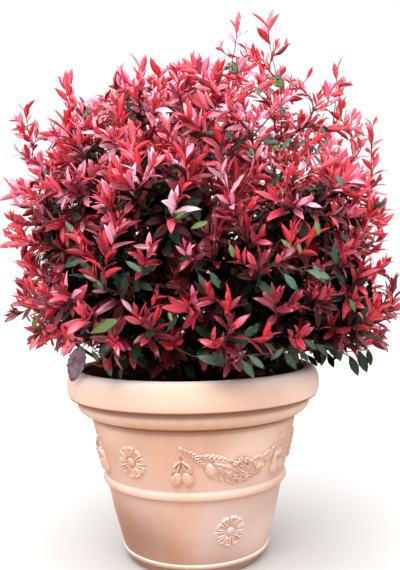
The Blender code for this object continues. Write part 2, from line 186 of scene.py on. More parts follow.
def smooth_route(points: Sequence[Sequence[float]], steps: int) -> Array:
    """A curve through points in space, with a number of steps between two of them."""
    knots = np.array([points[0], *points, points[-1]], float)
    route = []
    for index in range(len(points) - 1):
        a, b, c, d = knots[index : index + 4]
        for t in np.arange(steps) / steps:
            twice = 2 * b + (c - a) * t + (2 * a - 5 * b + 4 * c - d) * t**2 + (3 * b - a - 3 * c + d) * t**3
            route.append(0.5 * twice)
    return np.array([*route, knots[-1]])


def dress(
    obj: Piece, finishes: Iterable[Finish], nodes: Iterable[str] = ()
) -> Piece:
    """Give a finished piece its materials, and tie it to the frame.

    Args:
        obj: the piece.
        finishes: its materials, in the order of their indices.
        nodes: the CAD nodes that it stands for.

    Returns:
        The same piece.
    """
    if not obj.data.materials:
        for finish in finishes:
            obj.data.materials.append(finish)
    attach(obj, BODY)
    if nodes:
        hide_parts(*nodes)
    LOG.info("%s: %d faces", obj.name, len(obj.data.polygons))
    return obj


def smooth_shaded(obj: Piece, angle: float) -> None:
    """Shade an object smooth, except across edges sharper than an angle in degrees."""
    fresh()
    obj.select_set(True)
    bpy.context.view_layer.objects.active = obj
    bpy.ops.object.shade_smooth_by_angle(angle=math.radians(angle))


def apply_modifier(obj: Piece, modifier: bpy.types.Modifier) -> None:
    """Apply one modifier of an object."""
    fresh()
    obj.select_set(True)
    bpy.context.view_layer.objects.active = obj
    bpy.ops.object.modifier_apply(modifier=modifier.name)


# --- finishes --------------------------------------------------------------------------------------


class Nodes:
    """A Principled material under construction, with short ways to add its nodes."""

    def __init__(self, name: str, roughness: float, specular: float = 0.5) -> None:
        """Start a material.

        Args:
            name: name of the material.
            roughness: roughness of the whole surface.
            specular: specular level of the whole surface.
        """
        self.material = bpy.data.materials.new(name)
        self.material.use_nodes = True
        self.tree = self.material.node_tree
        self.shader = self.tree.nodes["Principled BSDF"]
        self.shader.inputs["Roughness"].default_value = roughness
        self.shader.inputs["Specular IOR Level"].default_value = specular
        self.place = self.tree.nodes.new("ShaderNodeTexCoord").outputs["Object"]

    def link(self, source: Socket, target: Socket) -> None:
        """Join two sockets."""
        self.tree.links.new(source, target)

    def mapped(self, scale: Triple, centre: Triple = (0.0, 0.0, 0.0)) -> Socket:
        """Object coordinates about a centre, stretched by a scale."""
        node = self.tree.nodes.new("ShaderNodeMapping")
        self.link(self.place, node.inputs["Vector"])
        node.inputs["Scale"].default_value = scale
        node.inputs["Location"].default_value = [-c * s for c, s in zip(centre, scale)]
        return node.outputs["Vector"]

    def noise(self, scale: Triple, detail: float, size: float = 1.0) -> Socket:
        """A noise value over stretched coordinates."""
        node = self.tree.nodes.new("ShaderNodeTexNoise")
        self.link(self.mapped(scale), node.inputs["Vector"])
        node.inputs["Scale"].default_value = size
        node.inputs["Detail"].default_value = detail
        return node.outputs["Fac"]

    def ramp(self, value: Socket, stops: Sequence[Pair]) -> Socket:
        """A value read through a soft curve of (position, value) stops."""
        node = self.tree.nodes.new("ShaderNodeValToRGB")
        node.color_ramp.interpolation = "EASE"
        elements = node.color_ramp.elements
        while len(elements) < len(stops):
            elements.new(0.5)
        for element, (position, grey) in zip(elements, stops):
            element.position = position
            element.color = (grey, grey, grey, 1.0)
        self.link(value, node.inputs["Fac"])
        return node.outputs["Color"]

    def height(self, low: float, high: float) -> Socket:
        """The height above the ground, as a share of the way from low to high."""
        split = self.tree.nodes.new("ShaderNodeSeparateXYZ")
        self.link(self.place, split.inputs[0])
        node = self.tree.nodes.new("ShaderNodeMapRange")
        self.link(split.outputs["Z"], node.inputs["Value"])
        node.inputs["From Min"].default_value = low
        node.inputs["From Max"].default_value = high
        return node.outputs["Result"]

    def upward(self) -> Socket:
        """How far the surface faces up: 0 for down, 1 for up."""
        split = self.tree.nodes.new("ShaderNodeSeparateXYZ")
        self.link(self.tree.nodes.new("ShaderNodeNewGeometry").outputs["Normal"], split.inputs[0])
        return self.combine("MULTIPLY_ADD", split.outputs["Z"], 0.5)

    def attribute(self, name: str) -> Socket:
        """A value kept on the mesh's own vertices."""
        node = self.tree.nodes.new("ShaderNodeAttribute")
        node.attribute_name = name
        return node.outputs["Fac"]

    def edges(self) -> Socket:
        """How sharply the surface bends: below a half in hollows, above it on ridges."""
        return self.tree.nodes.new("ShaderNodeNewGeometry").outputs["Pointiness"]

    def distance(self, centre: Triple, scale: Triple) -> Socket:
        """The distance from a centre, in units stretched by a scale."""
        node = self.tree.nodes.new("ShaderNodeVectorMath")
        node.operation = "LENGTH"
        self.link(self.mapped(scale, centre), node.inputs[0])
        return node.outputs["Value"]

    def combine(self, kind: str, one: Socket, two: Socket | float) -> Socket:
        """Two values joined by a Math operation."""
        node = self.tree.nodes.new("ShaderNodeMath")
        node.operation = kind
        self.link(one, node.inputs[0])
        node.inputs[2].default_value = 0.5
        if isinstance(two, float):
            node.inputs[1].default_value = two
        else:
            self.link(two, node.inputs[1])
        return node.outputs["Value"]

    def blend(self, share: Socket, one: Socket | Colour, two: Socket | Colour) -> Socket:
        """A mix of two colours by a share."""
        node = self.tree.nodes.new("ShaderNodeMix")
        node.data_type = "RGBA"
        self.link(share, node.inputs[0])
        for socket, value in ((node.inputs[6], one), (node.inputs[7], two)):
            if isinstance(value, tuple):
                socket.default_value = (*value, 1.0)
            else:
                self.link(value, socket)
        return node.outputs[2]

    def layer(self, under: Socket | Colour, value: Socket, stops: Stops, over: Colour) -> Socket:
        """A colour laid over another, as far as a value read through a curve says."""
        return self.blend(self.ramp(value, stops), under, over)

    def scaled(self, value: Socket, factor: float) -> Socket:
        """A value times a factor."""
        return self.combine("MULTIPLY", value, factor)

    def colour(self, value: Socket) -> None:
        """Use a colour as the base colour."""
        self.link(value, self.shader.inputs["Base Color"])

    def bump(self, value: Socket, strength: float, distance: float) -> None:
        """Use a value as a fine relief."""
        node = self.tree.nodes.new("ShaderNodeBump")
        node.inputs["Strength"].default_value = strength
        node.inputs["Distance"].default_value = distance
        self.link(value, node.inputs["Height"])
        self.link(node.outputs["Normal"], self.shader.inputs["Normal"])


@dataclass(frozen=True)
class Terracotta:
    """Unglazed weathered clay: paler towards the rim, damp near the foot; upward faces and ridges carry
    painted light, and painted shade darkens the undersides, hollows, recesses, the grooves under the rolls
    and the inside of the mouth.
    """

    clay: Colour = (0.63, 0.355, 0.25)
    # Pale colour of the weathered rim, also used for painted highlight along ridges.
    bleach_and_highlight: Colour = (0.88, 0.64, 0.53)
    # Near-white painted light for faces that look up.
    top_light: Colour = (0.94, 0.85, 0.815)
    bloom: Colour = (0.62, 0.45, 0.4)
    damp: Colour = (0.345, 0.165, 0.105)
    blush: Colour = (0.735, 0.465, 0.36)
    # Near-black painted shade for the inside of the mouth.
    inner: Colour = (0.055, 0.02, 0.014)
    # Colour of painted shade under overhangs, in creases and in the recesses of the relief.
    painted_shade: Colour = (0.48, 0.24, 0.14)
    # Colour of the painted shadow line under each roll.
    groove_shadow: Colour = (0.225, 0.062, 0.014)
    broad_grain: Triple = (5.0, 5.0, 3.0)
    streak_grain: Triple = (38.0, 38.0, 2.5)
    fine_grain: Triple = (260.0, 260.0, 200.0)
    fine_relief: Pair = (0.25, 0.0008)
    bloom_streaks: Stops = ((0.35, 0.0), (0.75, 0.28))
    bloom_top: float = 0.42
    bloom_fade: Stops = ((0.25, 0.9), (1.0, 0.0))
    bloom_patches: Stops = ((0.38, 0.0), (0.6, 1.0))
    splash_top: float = 0.2
    splash_ragged: float = 0.35
    splash_fade: Stops = ((0.2, 0.55), (0.85, 0.0))
    damp_spot: Triple = (-0.18, -0.175, 0.11)
    damp_size: Triple = (3.6, 3.6, 4.4)
    damp_ragged: float = 0.5
    damp_fade: Stops = ((0.3, 0.88), (1.12, 0.0))
    bright_spots: tuple[Triple, ...] = (
        (0.195, -0.255, 0.42), (-0.29, -0.23, 0.445), (0.15, -0.26, 0.33), (0.33, -0.23, 0.52),
        (0.195, -0.135, 0.09),
    )
    bright_size: Triple = (5.0, 5.0, 8.0)
    bright_fade: Stops = ((0.15, 0.55), (0.85, 0.0))
    worn_span: Pair = (0.4, 0.78)
    worn_streaks: float = 0.1
    worn_rise: Stops = ((0.12, 0.0), (0.55, 0.75))
    lit_tops: Stops = ((0.55, 0.0), (0.95, 0.85))
    shade_under: Stops = ((0.05, 0.55), (0.38, 0.0))
    shade_in_hollows: Stops = ((0.44, 0.8), (0.495, 0.0))
    ridge_highlight: Stops = ((0.505, 0.0), (0.56, 0.5))
    shade_in_recesses: Stops = ((0.06, 0.0), (0.75, 0.85))
    blush_spot: Triple = (0.0, -0.4, 0.545)
    blush_size: Triple = (3.2, 5.0, 15.0)
    blush_fade: Stops = ((0.4, 0.8), (1.05, 0.0))
    inner_radius: float = 0.357
    inner_edge: Stops = ((0.99, 1.0), (1.0, 0.0))
    inner_span: Pair = (0.5, 0.6)
    inner_rise: Stops = ((0.0, 0.0), (0.03, 1.0), (0.8, 0.9), (0.97, 0.0))
    grooves: Pair = (0.5035, 0.449)
    groove_reach: float = 0.02
    groove_shadow_line: Stops = ((0.04, 0.0), (0.36, 0.55), (0.5, 0.95), (0.68, 0.95), (0.78, 0.0))

    def material(self) -> Finish:
        """The finish as a material."""
        made = Nodes("terracotta_clay", roughness=0.82, specular=0.3)
        broad = made.noise(self.broad_grain, 4.0)
        streaks = made.noise(self.streak_grain, 5.0)
        colour = made.layer(self.clay, streaks, self.bloom_streaks, self.bloom)
        low = made.ramp(made.height(0.0, self.bloom_top), self.bloom_fade)
        patches = made.combine("MULTIPLY", made.ramp(broad, self.bloom_patches), low)
        colour = made.blend(patches, colour, self.bloom)
        splashed = made.height(0.0, self.splash_top)
        splashed = made.combine("ADD", splashed, made.scaled(broad, self.splash_ragged))
        colour = made.layer(colour, splashed, self.splash_fade, self.damp)
        damp = made.distance(self.damp_spot, self.damp_size)
        damp = made.combine("ADD", damp, made.scaled(broad, self.damp_ragged))
        colour = made.layer(colour, damp, self.damp_fade, self.damp)
        for place in self.bright_spots:
            near = made.distance(place, self.bright_size)
            colour = made.layer(colour, near, self.bright_fade, self.bleach_and_highlight)
        worn = made.combine("ADD", made.height(*self.worn_span), made.scaled(streaks, self.worn_streaks))
        colour = made.layer(colour, worn, self.worn_rise, self.bleach_and_highlight)
        # Painted light: faces that look up are lightened towards near-white.
        colour = made.layer(colour, made.upward(), self.lit_tops, self.top_light)
        # Painted shade: faces that look down are darkened.
        colour = made.layer(colour, made.upward(), self.shade_under, self.painted_shade)
        # Painted shade in creases, where the surface bends inward.
        colour = made.layer(colour, made.edges(), self.shade_in_hollows, self.painted_shade)
        # Painted highlight along ridges.
        colour = made.layer(colour, made.edges(), self.ridge_highlight, self.bleach_and_highlight)
        # Painted shade in the recesses of the relief.
        colour = made.layer(colour, made.attribute("recess"), self.shade_in_recesses, self.painted_shade)
        blush = made.distance(self.blush_spot, self.blush_size)
        colour = made.layer(colour, blush, self.blush_fade, self.blush)
        # Painted shade: the inside of the mouth below the rim turns near-black.
        reach = 1.0 / self.inner_radius
        radial = made.ramp(made.distance((0.0, 0.0, 0.0), (reach, reach, 0.0)), self.inner_edge)
        inside = made.combine("MULTIPLY", radial, made.ramp(made.height(*self.inner_span), self.inner_rise))
        colour = made.blend(inside, colour, self.inner)
        # Painted shadow: a dark line under each roll, at the groove levels.
        for level in self.grooves:
            across = made.height(level - self.groove_reach, level + self.groove_reach)
            colour = made.layer(colour, across, self.groove_shadow_line, self.groove_shadow)
        made.colour(colour)
        made.bump(made.noise(self.fine_grain, 3.0), *self.fine_relief)
        return made.material


@dataclass(frozen=True)
class Earth:
    """Dark moist compost with paler fibres."""

    dark: Colour = (0.008, 0.006, 0.005)
    pale: Colour = (0.036, 0.024, 0.016)
    grain: Triple = (120.0, 120.0, 120.0)
    fibres: Stops = ((0.45, 0.0), (0.72, 1.0))
    relief: Pair = (0.8, 0.004)

    def material(self) -> Finish:
        """The finish as a material."""
        made = Nodes("compost_earth", roughness=0.95, specular=0.2)
        grain = made.noise(self.grain, 6.0)
        made.colour(made.layer(self.dark, grain, self.fibres, self.pale))
        made.bump(grain, *self.relief)
        return made.material


@dataclass(frozen=True)
class Bark:
    """Reddish-brown bark with grey flecks along the limb."""

    brown: Colour = (0.04, 0.013, 0.018)
    grey: Colour = (0.115, 0.066, 0.066)
    grain: Triple = (160.0, 160.0, 45.0)
    flecks: Stops = ((0.42, 0.0), (0.7, 1.0))
    relief: Pair = (0.5, 0.0015)

    def material(self) -> Finish:
        """The finish as a material."""
        made = Nodes("limb_bark", roughness=0.8, specular=0.3)
        grain = made.noise(self.grain, 5.0)
        made.colour(made.layer(self.brown, grain, self.flecks, self.grey))
        made.bump(grain, *self.relief)
        return made.material


@dataclass(frozen=True)
class PlainFinish:
    """One plain base colour with a gloss of its own."""

    name: str
    colour: Colour
    roughness: float
    specular: float = 0.5
    coat: float = 0.0

    def material(self) -> Finish:
        """The finish as a material."""
        made = bpy.data.materials.new(self.name)
        made.use_nodes = True
        shader = made.node_tree.nodes["Principled BSDF"]
        shader.inputs["Base Color"].default_value = (*self.colour, 1.0)
        shader.inputs["Roughness"].default_value = self.roughness
        shader.inputs["Specular IOR Level"].default_value = self.specular
        shader.inputs["Coat Weight"].default_value = self.coat
        shader.inputs["Coat Roughness"].default_value = 0.22
        return made


@dataclass(frozen=True)
class DryLeaf:
    """A withered leaf: grey-purple, blotched with brown."""

    grey: Colour = (0.27, 0.19, 0.225)
    purple: Colour = (0.165, 0.085, 0.115)
    brown: Colour = (0.15, 0.08, 0.06)
    blotch_grain: Triple = (70.0, 70.0, 45.0)
    blotches: Stops = ((0.4, 0.0), (0.62, 1.0))
    spot_grain: Triple = (190.0, 190.0, 190.0)
    spots: Stops = ((0.56, 0.0), (0.68, 0.9))
    relief: Pair = (0.5, 0.001)

    def material(self) -> Finish:
        """The finish as a material."""
        made = Nodes("leaf_withered", roughness=0.7, specular=0.3)
        blotched = made.noise(self.blotch_grain, 4.0)
        colour = made.layer(self.grey, blotched, self.blotches, self.purple)
        made.colour(made.layer(colour, made.noise(self.spot_grain, 3.0), self.spots, self.brown))
        made.bump(blotched, *self.relief)
        return made.material


class Gloss(Enum):
    """How a face of a leaf shines: its roughness, specular level and weight of coat."""

    UPPER = (0.34, 0.55, 0.28)
    UNDER = (0.5, 0.4, 0.0)
    OLD = (0.42, 0.32, 0.0)
    DARK = (0.5, 0.2, 0.0)
    BLACK = (0.7, 0.04, 0.0)


class Tint(Enum):
    """A leaf's colouring: base colour of its upper face, and of its underside. The upper faces are paler and
    pinker than the undersides by a painted sheen of the sky, most of all in PINK and ROSE; the undersides
    are partly the leaf's own red and partly a painted glow of light through the leaf.
    """

    # Upper faces carry painted sheen; undersides carry painted glow besides their own red.
    PINK = ((0.85, 0.42, 0.57), (0.86, 0.17, 0.24))
    ROSE = ((0.8, 0.24, 0.37), (0.86, 0.085, 0.13))
    SCARLET = ((0.66, 0.058, 0.1), (0.72, 0.036, 0.056))
    CRIMSON = ((0.48, 0.03, 0.06), (0.66, 0.02, 0.034))
    WINE = ((0.21, 0.016, 0.034), (0.34, 0.012, 0.02))
    PLUM = ((0.27, 0.085, 0.12), (0.26, 0.022, 0.034))
    # MAROON and SHADE are darkened to near-black as painted shade for leaves inside the crown.
    MAROON = ((0.042, 0.005, 0.009), (0.085, 0.005, 0.008))
    SHADE = ((0.0016, 0.0012, 0.001), (0.002, 0.0015, 0.0013))
    DEEP_GREEN = ((0.018, 0.042, 0.021), (0.055, 0.085, 0.042))
    GREY_GREEN = ((0.055, 0.105, 0.066), (0.14, 0.185, 0.115))
    FRESH_GREEN = ((0.085, 0.122, 0.026), (0.145, 0.185, 0.046))

    @property
    def is_green(self) -> bool:
        """Whether it belongs to older leaves."""
        return self in (Tint.SHADE, Tint.DEEP_GREEN, Tint.GREY_GREEN, Tint.FRESH_GREEN)

    def gloss(self, side: str) -> Gloss:
        """How its upper face or its underside shines."""
        if self is Tint.SHADE:
            return Gloss.BLACK
        if self is Tint.MAROON:
            return Gloss.DARK
        if self.is_green:
            return Gloss.OLD
        return Gloss.UPPER if side == "upper" else Gloss.UNDER

    def finishes(self) -> tuple[Finish, Finish]:
        """Materials of the upper face and of the underside, made once and then found by name."""
        made = []
        for side, colour in zip(("upper", "under"), self.value):
            name = f"leaf_{self.name.lower()}_{side}"
            finish = PlainFinish(name, colour, *self.gloss(side).value)
            made.append(bpy.data.materials.get(name) or finish.material())
        return made[0], made[1]


# --- planter ---------------------------------------------------------------------------------------


@dataclass
class Planter:
    """The turned terracotta planter: foot, base ring, wall, band, ovolo, rolled rim and drain holes."""

    finish: Finish
    sides: int = 192
    wall_low: Pair = (0.231, 0.043)
    wall_below_band: Pair = (0.2755, 0.225)
    wall_above_band: Pair = (0.2842, 0.265)
    wall_top: Pair = (0.3225, 0.431)
    roll_centre: Pair = (0.366, 0.544)
    roll_half: Pair = (0.0338, 0.049)
    lip: float = 0.012
    floor: Pair = (0.205, 0.035)
    floor_rounding: float = 0.012
    hollow: Stops = ((0.217, 0.09), (0.26, 0.29), (0.298, 0.47), (0.33, 0.54), (0.353, 0.578))
    ovolo: Stops = (
        (0.384, 0.5092), (0.375, 0.5078), (0.3688, 0.5045), (0.367, 0.5002), (0.3692, 0.495),
        (0.3697, 0.4885), (0.3672, 0.4785), (0.359, 0.4665), (0.347, 0.4575), (0.335, 0.452),
        (0.327, 0.4492), (0.324, 0.444),
    )
    upper_wall: Stops = ((0.31, 0.377), (0.296, 0.316), (0.2862, 0.273))
    band: Stops = (
        (0.2856, 0.2685), (0.2874, 0.2645), (0.2899, 0.259), (0.2914, 0.2535), (0.2911, 0.248),
        (0.288, 0.2435), (0.2832, 0.24), (0.2795, 0.235),
    )
    lower_wall: Stops = ((0.2678, 0.188), (0.256, 0.135), (0.242, 0.085))
    ring_centre: Pair = (0.2268, 0.0345)
    ring_half: Pair = (0.0075, 0.0078)
    foot: Stops = (
        (0.2256, 0.025), (0.2215, 0.023), (0.217, 0.014), (0.212, 0.003), (0.2085, 0.0), (0.16, 0.0),
        (0.06, 0.0), (0.0, 0.0),
    )
    drains: int = 3
    drain_radius: float = 0.011
    drain_ring: float = 0.115
    drain_bearing: float = 64.0

    def wall_radius(self, height: Array | float) -> Array | float:
        """Outer radius of the plain wall at a height, without band and rolls."""
        (foot, low), (under, middle) = self.wall_low, self.wall_below_band
        (over, above), (top, high) = self.wall_above_band, self.wall_top
        lower = np.interp(height, (low, middle), (foot, under))
        slope = (top - over) / (high - above)
        return np.where(np.asarray(height) < above, lower, over + slope * (height - above))

    def outline(self) -> list[Pair]:
        """Outline from the middle of the floor, over the rim, to the middle of the underside."""
        top = self.roll_centre[1] + self.roll_half[1]
        edge, level = self.floor
        turn = self.floor_rounding
        return [
            *((radius, level) for radius in (0.0, 0.06, 0.16)),
            *arc((edge - turn, level + turn), (turn, turn), 2.0, -90.0, -10.0, 4),
            *through(self.hollow, 6),
            *arc((self.roll_centre[0], top - self.lip), (self.lip, self.lip), 2.0, 175.0, 90.0, 6),
            *arc(self.roll_centre, self.roll_half, 2.35, 88.0, -44.0, 26),
            *through((*self.ovolo, self.wall_top), 3),
            *through((self.wall_top, *self.upper_wall), 5)[1:],
            *through((*self.band, self.wall_below_band), 3),
            *through((self.wall_below_band, *self.lower_wall, self.wall_low), 6)[1:],
            *arc(self.ring_centre, self.ring_half, 2.0, 72.0, -72.0, 8),
            *self.foot,
        ]

    def build(self) -> Piece:
        """Turn the planter and drill its drain holes."""
        pot = turned("planter_body", self.outline(), self.sides)
        for index in range(self.drains):
            fresh()
            bearing = self.drain_bearing + 360.0 / self.drains * index
            place = on_bearing(bearing, self.drain_ring, self.floor[1] / 2)
            bpy.ops.mesh.primitive_cylinder_add(
                vertices=32, radius=self.drain_radius, depth=2.4 * self.floor[1], location=place
            )
            drill = bpy.context.active_object
            cut = pot.modifiers.new("drain", "BOOLEAN")
            cut.operation = "DIFFERENCE"
            cut.solver = "EXACT"
            cut.object = drill
            apply_modifier(pot, cut)
            bpy.data.objects.remove(drill, do_unlink=True)
        smooth_shaded(pot, 35.0)
        return dress(pot, [self.finish], ["pot"])


# --- relief on the wall ----------------------------------------------------------------------------

Places = tuple[Array, Array]


@dataclass(frozen=True)
class Dome:
    """A rounded lump of relief, such as a fruit, a bud or a stud."""

    bearing: float
    height: float
    half: Pair
    lift: float
    turn: float = 0.0
    crease: float = 0.0

    def lifts(self, ornament: Ornament, grid: Places) -> Array:
        """Height over the wall at each place of a grid."""
        along, up = ornament.offsets(grid, self.bearing, self.height)
        angle = math.radians(self.turn)
        across = along * math.cos(angle) + up * math.sin(angle)
        ahead = up * math.cos(angle) - along * math.sin(angle)
        inside = 1.0 - (across / self.half[0]) ** 2 - (ahead / self.half[1]) ** 2
        found = self.lift * np.sqrt(np.clip(inside, 0.0, None))
        if self.crease:
            found -= self.crease * bell(across, 0.0014) * bell(ahead, 0.55 * self.half[1])
        return np.where(inside > 0.0, found, -1.0)


@dataclass(frozen=True)
class Stalk:
    """A rounded strip of relief that tapers between two places."""

    start: Pair
    end: Pair
    widths: Pair
    lift: float

    def lifts(self, ornament: Ornament, grid: Places) -> Array:
        """Height over the wall at each place of a grid."""
        share, side = ornament.along_line(grid, self.start, self.end)
        width = self.widths[0] + (self.widths[1] - self.widths[0]) * np.clip(share, 0.0, 1.0)
        length = ornament.span(self.start, self.end)
        past = np.maximum(np.maximum(-share, share - 1.0), 0.0) * length
        inside = 1.0 - (side**2 + past**2) / width**2
        return np.where(inside > 0.0, self.lift * np.sqrt(np.clip(inside, 0.0, None)), -1.0)


@dataclass(frozen=True)
class CarvedLeaf:
    """A leaf in relief, with a midrib and either slanting ribs or rays from its foot."""

    start: Pair
    end: Pair
    half_width: float
    lift: float
    ribs: float = 6.0
    rays: bool = False

    def lifts(self, ornament: Ornament, grid: Places) -> Array:
        """Height over the wall at each place of a grid."""
        share, side = ornament.along_line(grid, self.start, self.end)
        inner = np.clip(share, 1e-4, 1.0 - 1e-4)
        width = self.half_width * np.sin(np.pi * inner**0.85) ** (0.55 if self.rays else 0.8) + 1e-5
        across = side / width
        inside = (share > 0.0) & (share < 1.0) & (np.abs(across) < 1.0)
        rim = np.clip(1.0 - across**2, 0.0, 1.0)
        if self.rays:
            folds = np.cos(np.pi * self.ribs * across)
        else:
            folds = np.cos(2.0 * np.pi * (self.ribs * share - 1.1 * np.abs(across)))
        body = rim**0.45 * (0.76 + 0.24 * folds) * (1.0 - 0.35 * share)
        body -= 0.3 * bell(side, 0.0011) * rim
        return np.where(inside, self.lift * body, -1.0)


@dataclass(frozen=True)
class Blossom:
    """A small open flower in relief."""

    bearing: float
    height: float
    radius: float
    lift: float
    turn: float
    petals: int = 5

    def lifts(self, ornament: Ornament, grid: Places) -> Array:
        """Height over the wall at each place of a grid."""
        along, up = ornament.offsets(grid, self.bearing, self.height)
        reach = np.hypot(along, up)
        angle = np.arctan2(up, along) + math.radians(self.turn)
        side = np.abs(2.0 * np.mod(angle * self.petals / math.tau, 1.0) - 1.0)
        share = reach / (self.radius * (1.0 - 0.26 * side**3))
        petal = np.sqrt(np.clip(1.0 - share**4, 0.0, 1.0)) * (1.0 - 0.55 * bell(1.0 - side, 0.3))
        hollow = 1.0 - 0.5 * bell(reach, 0.42 * self.radius)
        eye = 0.62 * np.sqrt(np.clip(1.0 - (reach / (0.24 * self.radius)) ** 2, 0.0, 1.0))
        return np.where(share < 1.0, self.lift * np.maximum(petal * hollow, 0.45 + eye * 0.6), -1.0)


@dataclass(frozen=True)
class Rosette:
    """A round flower of broad hollowed petals with raised edges, round a smooth boss."""

    bearing: float
    height: float
    radius: float = 0.0495
    petals: int = 10
    lift: float = 0.0085
    boss: float = 0.0132

    def lifts(self, ornament: Ornament, grid: Places) -> Array:
        """Height over the wall at each place of a grid."""
        along, up = ornament.offsets(grid, self.bearing, self.height)
        reach = np.hypot(along, up)
        angle = np.arctan2(up, along)
        side = np.abs(2.0 * np.mod(angle * self.petals / math.tau + 0.25, 1.0) - 1.0)
        share = reach / (self.radius * (1.0 - 0.11 * side**3.5))
        edge = np.maximum(bell(side - 0.66, 0.21), bell(share - 0.88, 0.085))
        petal = (0.42 + 0.58 * edge) * (1.0 - 0.78 * bell(1.0 - side, 0.13))
        petal *= np.sqrt(np.clip(1.0 - share**9, 0.0, 1.0)) * smoothstep(1.12, 1.75, reach / self.boss)
        boss = 1.05 * np.sqrt(np.clip(1.0 - (reach / self.boss) ** 2.4, 0.0, 1.0))
        return np.where(share < 1.0, self.lift * np.maximum(np.maximum(petal, boss), 0.12), -1.0)


Shape = Dome | Stalk | CarvedLeaf | Blossom | Rosette


@dataclass
class Ornament:
    """The relief that repeats three times round the wall: garland, rosettes and hanging fruit."""

    planter: Planter
    finish: Finish
    cell: float = 0.0012
    sunk: float = 0.0007
    seat: float = 0.003
    blur: int = 4
    recess_depth: float = 0.0042
    repeat: int = 3
    middle: float = 23.5
    stud_gap: float = 30.5
    garland_corners: tuple[Pair, Pair] = ((-8.5, 0.277), (59.0, 0.409))
    pendant_half: float = 8.5
    pendant_levels: Pair = (0.283, 0.41)
    upper_rosette: Pair = (-36.5, 0.3472)
    lower_rosette: Pair = (22.5, 0.14)
    upper_half: Pair = (10.0, 0.052)
    lower_half: Pair = (12.5, 0.052)

    def offsets(self, grid: Places, bearing: float, height: float) -> Places:
        """Distances along and up the wall from a place to each place of a grid."""
        along = np.radians(grid[0] - bearing) * self.planter.wall_radius(grid[1])
        return along, grid[1] - height

    def way(self, start: Pair, end: Pair) -> Array:
        """The way between two places, along the wall and up it."""
        middle = float(self.planter.wall_radius((start[1] + end[1]) / 2))
        return np.array((math.radians(end[0] - start[0]) * middle, end[1] - start[1]))

    def span(self, start: Pair, end: Pair) -> float:
        """Distance along the wall between two places."""
        return math.hypot(*self.way(start, end))

    def along_line(self, grid: Places, start: Pair, end: Pair) -> Places:
        """Share of the way along a line, and distance to its side, for each place of a grid."""
        along, up = self.offsets(grid, *start)
        way = self.way(start, end)
        length = float(np.linalg.norm(way))
        way /= length
        return (along * way[0] + up * way[1]) / length, up * way[0] - along * way[1]

    def garland(self) -> list[Shape]:
        """A swag of leaves, fruit and small flowers that hangs from the left stud to the right one."""
        swell = (
            ((-6.2, 0.3975), 0.004), ((3.0, 0.37), 0.009), ((9.0, 0.342), 0.02), ((16.0, 0.327), 0.026),
            ((24.0, 0.321), 0.032), ((31.0, 0.323), 0.026), ((38.0, 0.333), 0.017), ((45.0, 0.353), 0.009),
            ((50.5, 0.382), 0.0045), ((54.2, 0.401), 0.0028),
        )
        shapes: list[Shape] = []
        for (start, width), (end, after) in zip(swell, swell[1:]):
            shapes.append(Stalk(start, end, (width, after), 0.0018 + 0.055 * (width + after)))
        leaves = (
            ((-4.6, 0.3955), (4.8, 0.361), 0.0085, 6.0, False),
            ((-1.5, 0.379), (6.0, 0.342), 0.0085, 5.0, False),
            ((2.2, 0.379), (21.5, 0.3535), 0.012, 8.0, False),
            ((9.6, 0.356), (21.5, 0.33), 0.015, 2.0, True), ((10.6, 0.348), (13.0, 0.3), 0.0125, 2.0, True),
            ((11.6, 0.346), (17.6, 0.293), 0.014, 2.0, True),
            ((12.6, 0.344), (22.6, 0.285), 0.0145, 2.0, True),
            ((30.5, 0.347), (39.8, 0.359), 0.0085, 5.0, False),
            ((37.0, 0.348), (46.8, 0.368), 0.008, 5.0, False),
            ((35.0, 0.317), (43.6, 0.33), 0.0085, 5.0, False),
            ((33.0, 0.309), (39.6, 0.308), 0.0095, 4.0, False),
            ((41.5, 0.337), (48.4, 0.352), 0.007, 4.0, False),
            ((44.5, 0.362), (51.6, 0.388), 0.0048, 4.0, False),
        )
        for start, end, width, ribs, rays in leaves:
            shapes.append(CarvedLeaf(start, end, width, 0.015 if rays else 0.012, ribs, rays))
        shapes.append(Dome(8.2, 0.333, (0.0158, 0.0228), 0.0145, turn=14.0))
        blooms = (
            (21.6, 0.348), (24.4, 0.3575), (27.8, 0.3545), (30.6, 0.345), (25.9, 0.341), (22.7, 0.329),
            (29.3, 0.33), (26.0, 0.317), (32.4, 0.319), (21.9, 0.308), (25.1, 0.2975), (29.1, 0.2985),
            (32.6, 0.304), (19.2, 0.318),
        )
        for index, (bearing, height) in enumerate(blooms):
            shapes.append(Blossom(bearing, height, 0.0098, 0.015, turn=31.0 * index))
        buds = ((34.0, 0.337, 35.0), (38.2, 0.329, 60.0), (36.0, 0.325, 50.0), (42.0, 0.345, 62.0))
        for bearing, height, turn in buds:
            shapes.append(Dome(bearing, height, (0.0072, 0.0112), 0.0125, turn=turn))
        shapes.append(Stalk((54.2, 0.401), (57.5, 0.403), (0.0028, 0.002), 0.0035))
        return shapes

    def pendant(self, bearing: float) -> list[Shape]:
        """Two plump fruits under drooping leaves, hung from a stud."""
        shapes: list[Shape] = [Dome(bearing, 0.3995, (0.008, 0.008), 0.0085)]
        for side in (-1.0, 1.0):
            crease = 0.0022 if side < 0 else 0.0
            shapes.append(Dome(bearing + 3.15 * side, 0.309, (0.0176, 0.0228), 0.0138, 4.0 * side, crease))
            shapes.append(Stalk((bearing, 0.396), (bearing + 0.35 * side, 0.378), (0.0028, 0.0022), 0.0042))
            slim = (bearing + 0.2 * side, 0.383), (bearing + 3.3 * side, 0.346)
            broad = (bearing + 0.4 * side, 0.366), (bearing + 5.6 * side, 0.319)
            shapes.append(CarvedLeaf(*slim, 0.0052, 0.0085, 3.0))
            shapes.append(CarvedLeaf(*broad, 0.0112, 0.0165, 1.5))
        return shapes

